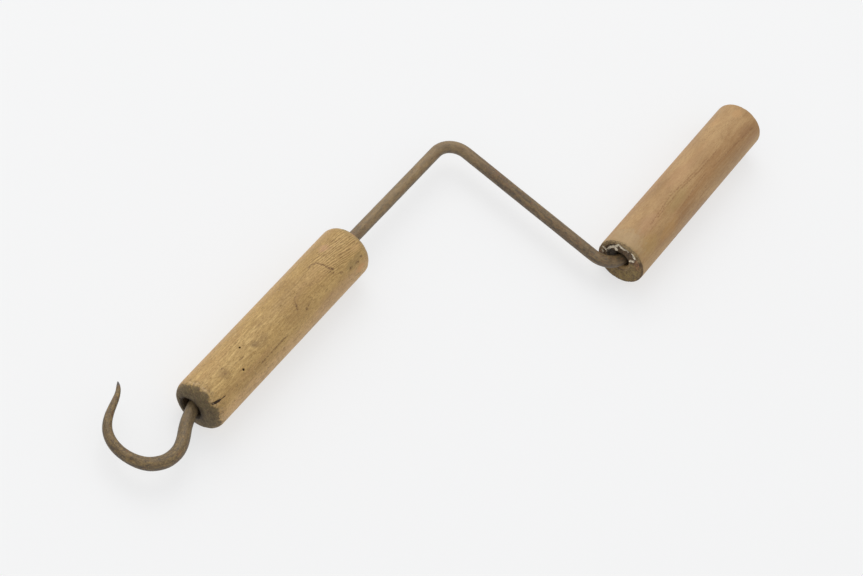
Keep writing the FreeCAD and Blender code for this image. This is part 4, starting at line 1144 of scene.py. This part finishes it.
handle_tones = {
    "deep": srgb(164, 129, 76), "mid": srgb(184, 149, 91), "light": srgb(203, 168, 107), "red": srgb(182, 140, 95),
    "line": srgb(144, 110, 60), "pore": srgb(108, 82, 44), "end_dark": srgb(100, 80, 54), "end_light": srgb(140, 114, 78),
    "mottle": srgb(152, 121, 66), "flash": srgb(220, 186, 122),
    "grime": srgb(68, 60, 40), "grime2": srgb(103, 90, 61), "grime3": srgb(140, 117, 80), "grime4": srgb(102, 78, 58),
    "ink": srgb(94, 60, 32), "hole": srgb(62, 43, 27), "bore": srgb(50, 38, 25), "bore2": srgb(74, 56, 36),
    "pale": srgb(204, 174, 132), "face": {},
}
grip_tones = {
    "deep": srgb(158, 122, 77), "mid": srgb(177, 141, 94), "light": srgb(194, 159, 111), "red": srgb(174, 130, 84),
    "line": srgb(146, 104, 62), "pore": srgb(120, 84, 48), "end_dark": srgb(84, 66, 43), "end_light": srgb(126, 100, 66),
    "mottle": srgb(154, 116, 72), "flash": srgb(202, 168, 120),
    "grime": srgb(72, 56, 38), "grime2": srgb(106, 84, 57), "grime3": srgb(146, 116, 82), "grime4": srgb(84, 60, 40),
    "ink": srgb(122, 78, 44), "hole": srgb(62, 46, 32), "bore": srgb(66, 54, 40), "bore2": srgb(84, 68, 50),
    "pale": srgb(240, 227, 202),
    "face": {"rimtan": srgb(160, 136, 94), "olive": srgb(140, 118, 68), "red": srgb(160, 108, 72)},
}

wood_handle = wood("wood_bearing_handle", BH_C, (-68.0, 15.0), (0.018, 0.010), 2.15, handle_tones, 0.85, 3,
                   marks, stains, 0.30, 0.60,
                   [("pinkish", srgb(216, 174, 124), 0.55), ("olive", srgb(142, 122, 76), 0.50),
                    ("streaky", srgb(222, 188, 124), 0.60), ("ripple", srgb(122, 88, 46), 0.78)], 0.52, 0.46)
wood_grip = wood("wood_crank_grip", CG_C, (-40.0, -70.0), (0.010, -0.012), 2.5, grip_tones, 0.55, 8,
                 grip_marks, grip_stains, 0.35, 0.40, [("heart", srgb(150, 104, 58), 0.56)], 0.52, 0.26)
iron_bar = iron("iron_bar")
iron_washer = iron("iron_washer", False)

for ob, mat in ((bar, iron_bar), (handle, wood_handle), (grip, wood_grip), (washer, iron_washer)):
    ob.data.materials.append(mat)

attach(bar, "crank")
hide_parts("crank_rod")
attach(washer, "crank")
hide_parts("grip_washer")
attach(handle, "bearing_handle")
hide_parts("bearing_handle")
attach(grip, "crank_grip")
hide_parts("crank_grip")

# ---------------------------------------------------------------------- stage
size = 30.0
floor_mesh = bpy.data.meshes.new("floor")
k = 24
vv = [(-size / 2 + size * i / k, -size / 2 + size * j / k, 0.0) for j in range(k + 1) for i in range(k + 1)]
ff = [(j * (k + 1) + i, j * (k + 1) + i + 1, (j + 1) * (k + 1) + i + 1, (j + 1) * (k + 1) + i) for j in range(k) for i in range(k)]
floor_mesh.from_pydata(vv, [], ff)
floor_mesh.update()
floor_ob = bpy.data.objects.new("floor", floor_mesh)
bpy.context.scene.collection.objects.link(floor_ob)
floor_mat = plain("floor_pale", (0.30, 0.301, 0.303), 0.8)
for n_ in floor_mat.node_tree.nodes:
    if n_.type == "BSDF_PRINCIPLED":
        # lit from behind as well, as a light table is, which keeps the shadows faint
        n_.inputs["Emission Color"].default_value = (1.0, 1.0, 1.0, 1.0)
        n_.inputs["Emission Strength"].default_value = 0.62
floor_ob.data.materials.append(floor_mat)

# a soft studio: light from all round, brighter from behind and to the left
world = bpy.data.worlds.new("studio")
bpy.context.scene.world = world
world.use_nodes = True
wt = world.node_tree
way = wt.nodes.new("ShaderNodeTexCoord")
dot = wt.nodes.new("ShaderNodeVectorMath")
dot.operation = "DOT_PRODUCT"
dot.inputs[1].default_value = tuple(np.array([0.40, 0.66, 0.64]) / np.linalg.norm([0.40, 0.66, 0.64]))
wt.links.new(way.outputs["Generated"], dot.inputs[0])
level = wt.nodes.new("ShaderNodeMapRange")
for k_, v_ in zip((1, 2, 3, 4), (-1.0, 1.0, 0.47, 0.87)):
    level.inputs[k_].default_value = v_
wt.links.new(dot.outputs["Value"], level.inputs[0])
wt.links.new(level.outputs[0], wt.nodes["Background"].inputs[1])
wt.nodes["Background"].inputs[0].default_value = (0.975, 0.985, 1.0, 1.0)


def area(name, where, target, size_x, size_y, power, color=(1, 1, 1)):
    light = bpy.data.lights.new(name, "AREA")
    light.shape = "RECTANGLE"
    light.size, light.size_y = size_x, size_y
    light.energy = power
    light.color = color
    ob = bpy.data.objects.new(name, light)
    ob.location = Vector(where)
    ob.rotation_mode = "QUATERNION"
    ob.rotation_quaternion = (Vector(target) - Vector(where)).to_track_quat("-Z", "Y")
    bpy.context.scene.collection.objects.link(ob)
    return ob


area("key", (1.15, 1.95, 2.95), (0.0, 0.0, 0.0), 2.6, 2.6, 42.0, (1.0, 0.99, 0.97))

cam_data = bpy.data.cameras.new("camera")
cam = bpy.data.objects.new("camera", cam_data)
bpy.context.scene.collection.objects.link(cam)
right = Vector((0.56913677, -0.76898353, 0.29111453)).normalized()
forward = Vector((0.54157135, 0.08417779, -0.83642966)).normalized()
up = right.cross(forward).normalized()
# half a pixel right and down, from pixel numbers to the middles of the pixels
forward = (forward - right * (0.5 / 2439.766) + up * (0.5 / 2439.766)).normalized()
right = forward.cross(up).normalized()
up = right.cross(forward).normalized()
m = Matrix.Identity(4)
for row in range(3):
    m[row][0], m[row][1], m[row][2] = right[row], up[row], -forward[row]
cam_pos = (np.array([-1037.113, -209.436, 1432.734]) + SHIFT) * MM
m.translation = Vector(cam_pos.tolist())
cam.matrix_world = m
cam_data.sensor_fit = "HORIZONTAL"
cam_data.sensor_width = 36.0
cam_data.lens = 2439.766 * 36.0 / 863.0
cam_data.clip_start, cam_data.clip_end = 0.05, 100.0
bpy.context.scene.camera = cam

scene = bpy.context.scene
scene.view_settings.view_transform = "Standard"
scene.view_settings.look = "None"
scene.view_settings.exposure = 0.0
scene.view_settings.gamma = 1.0
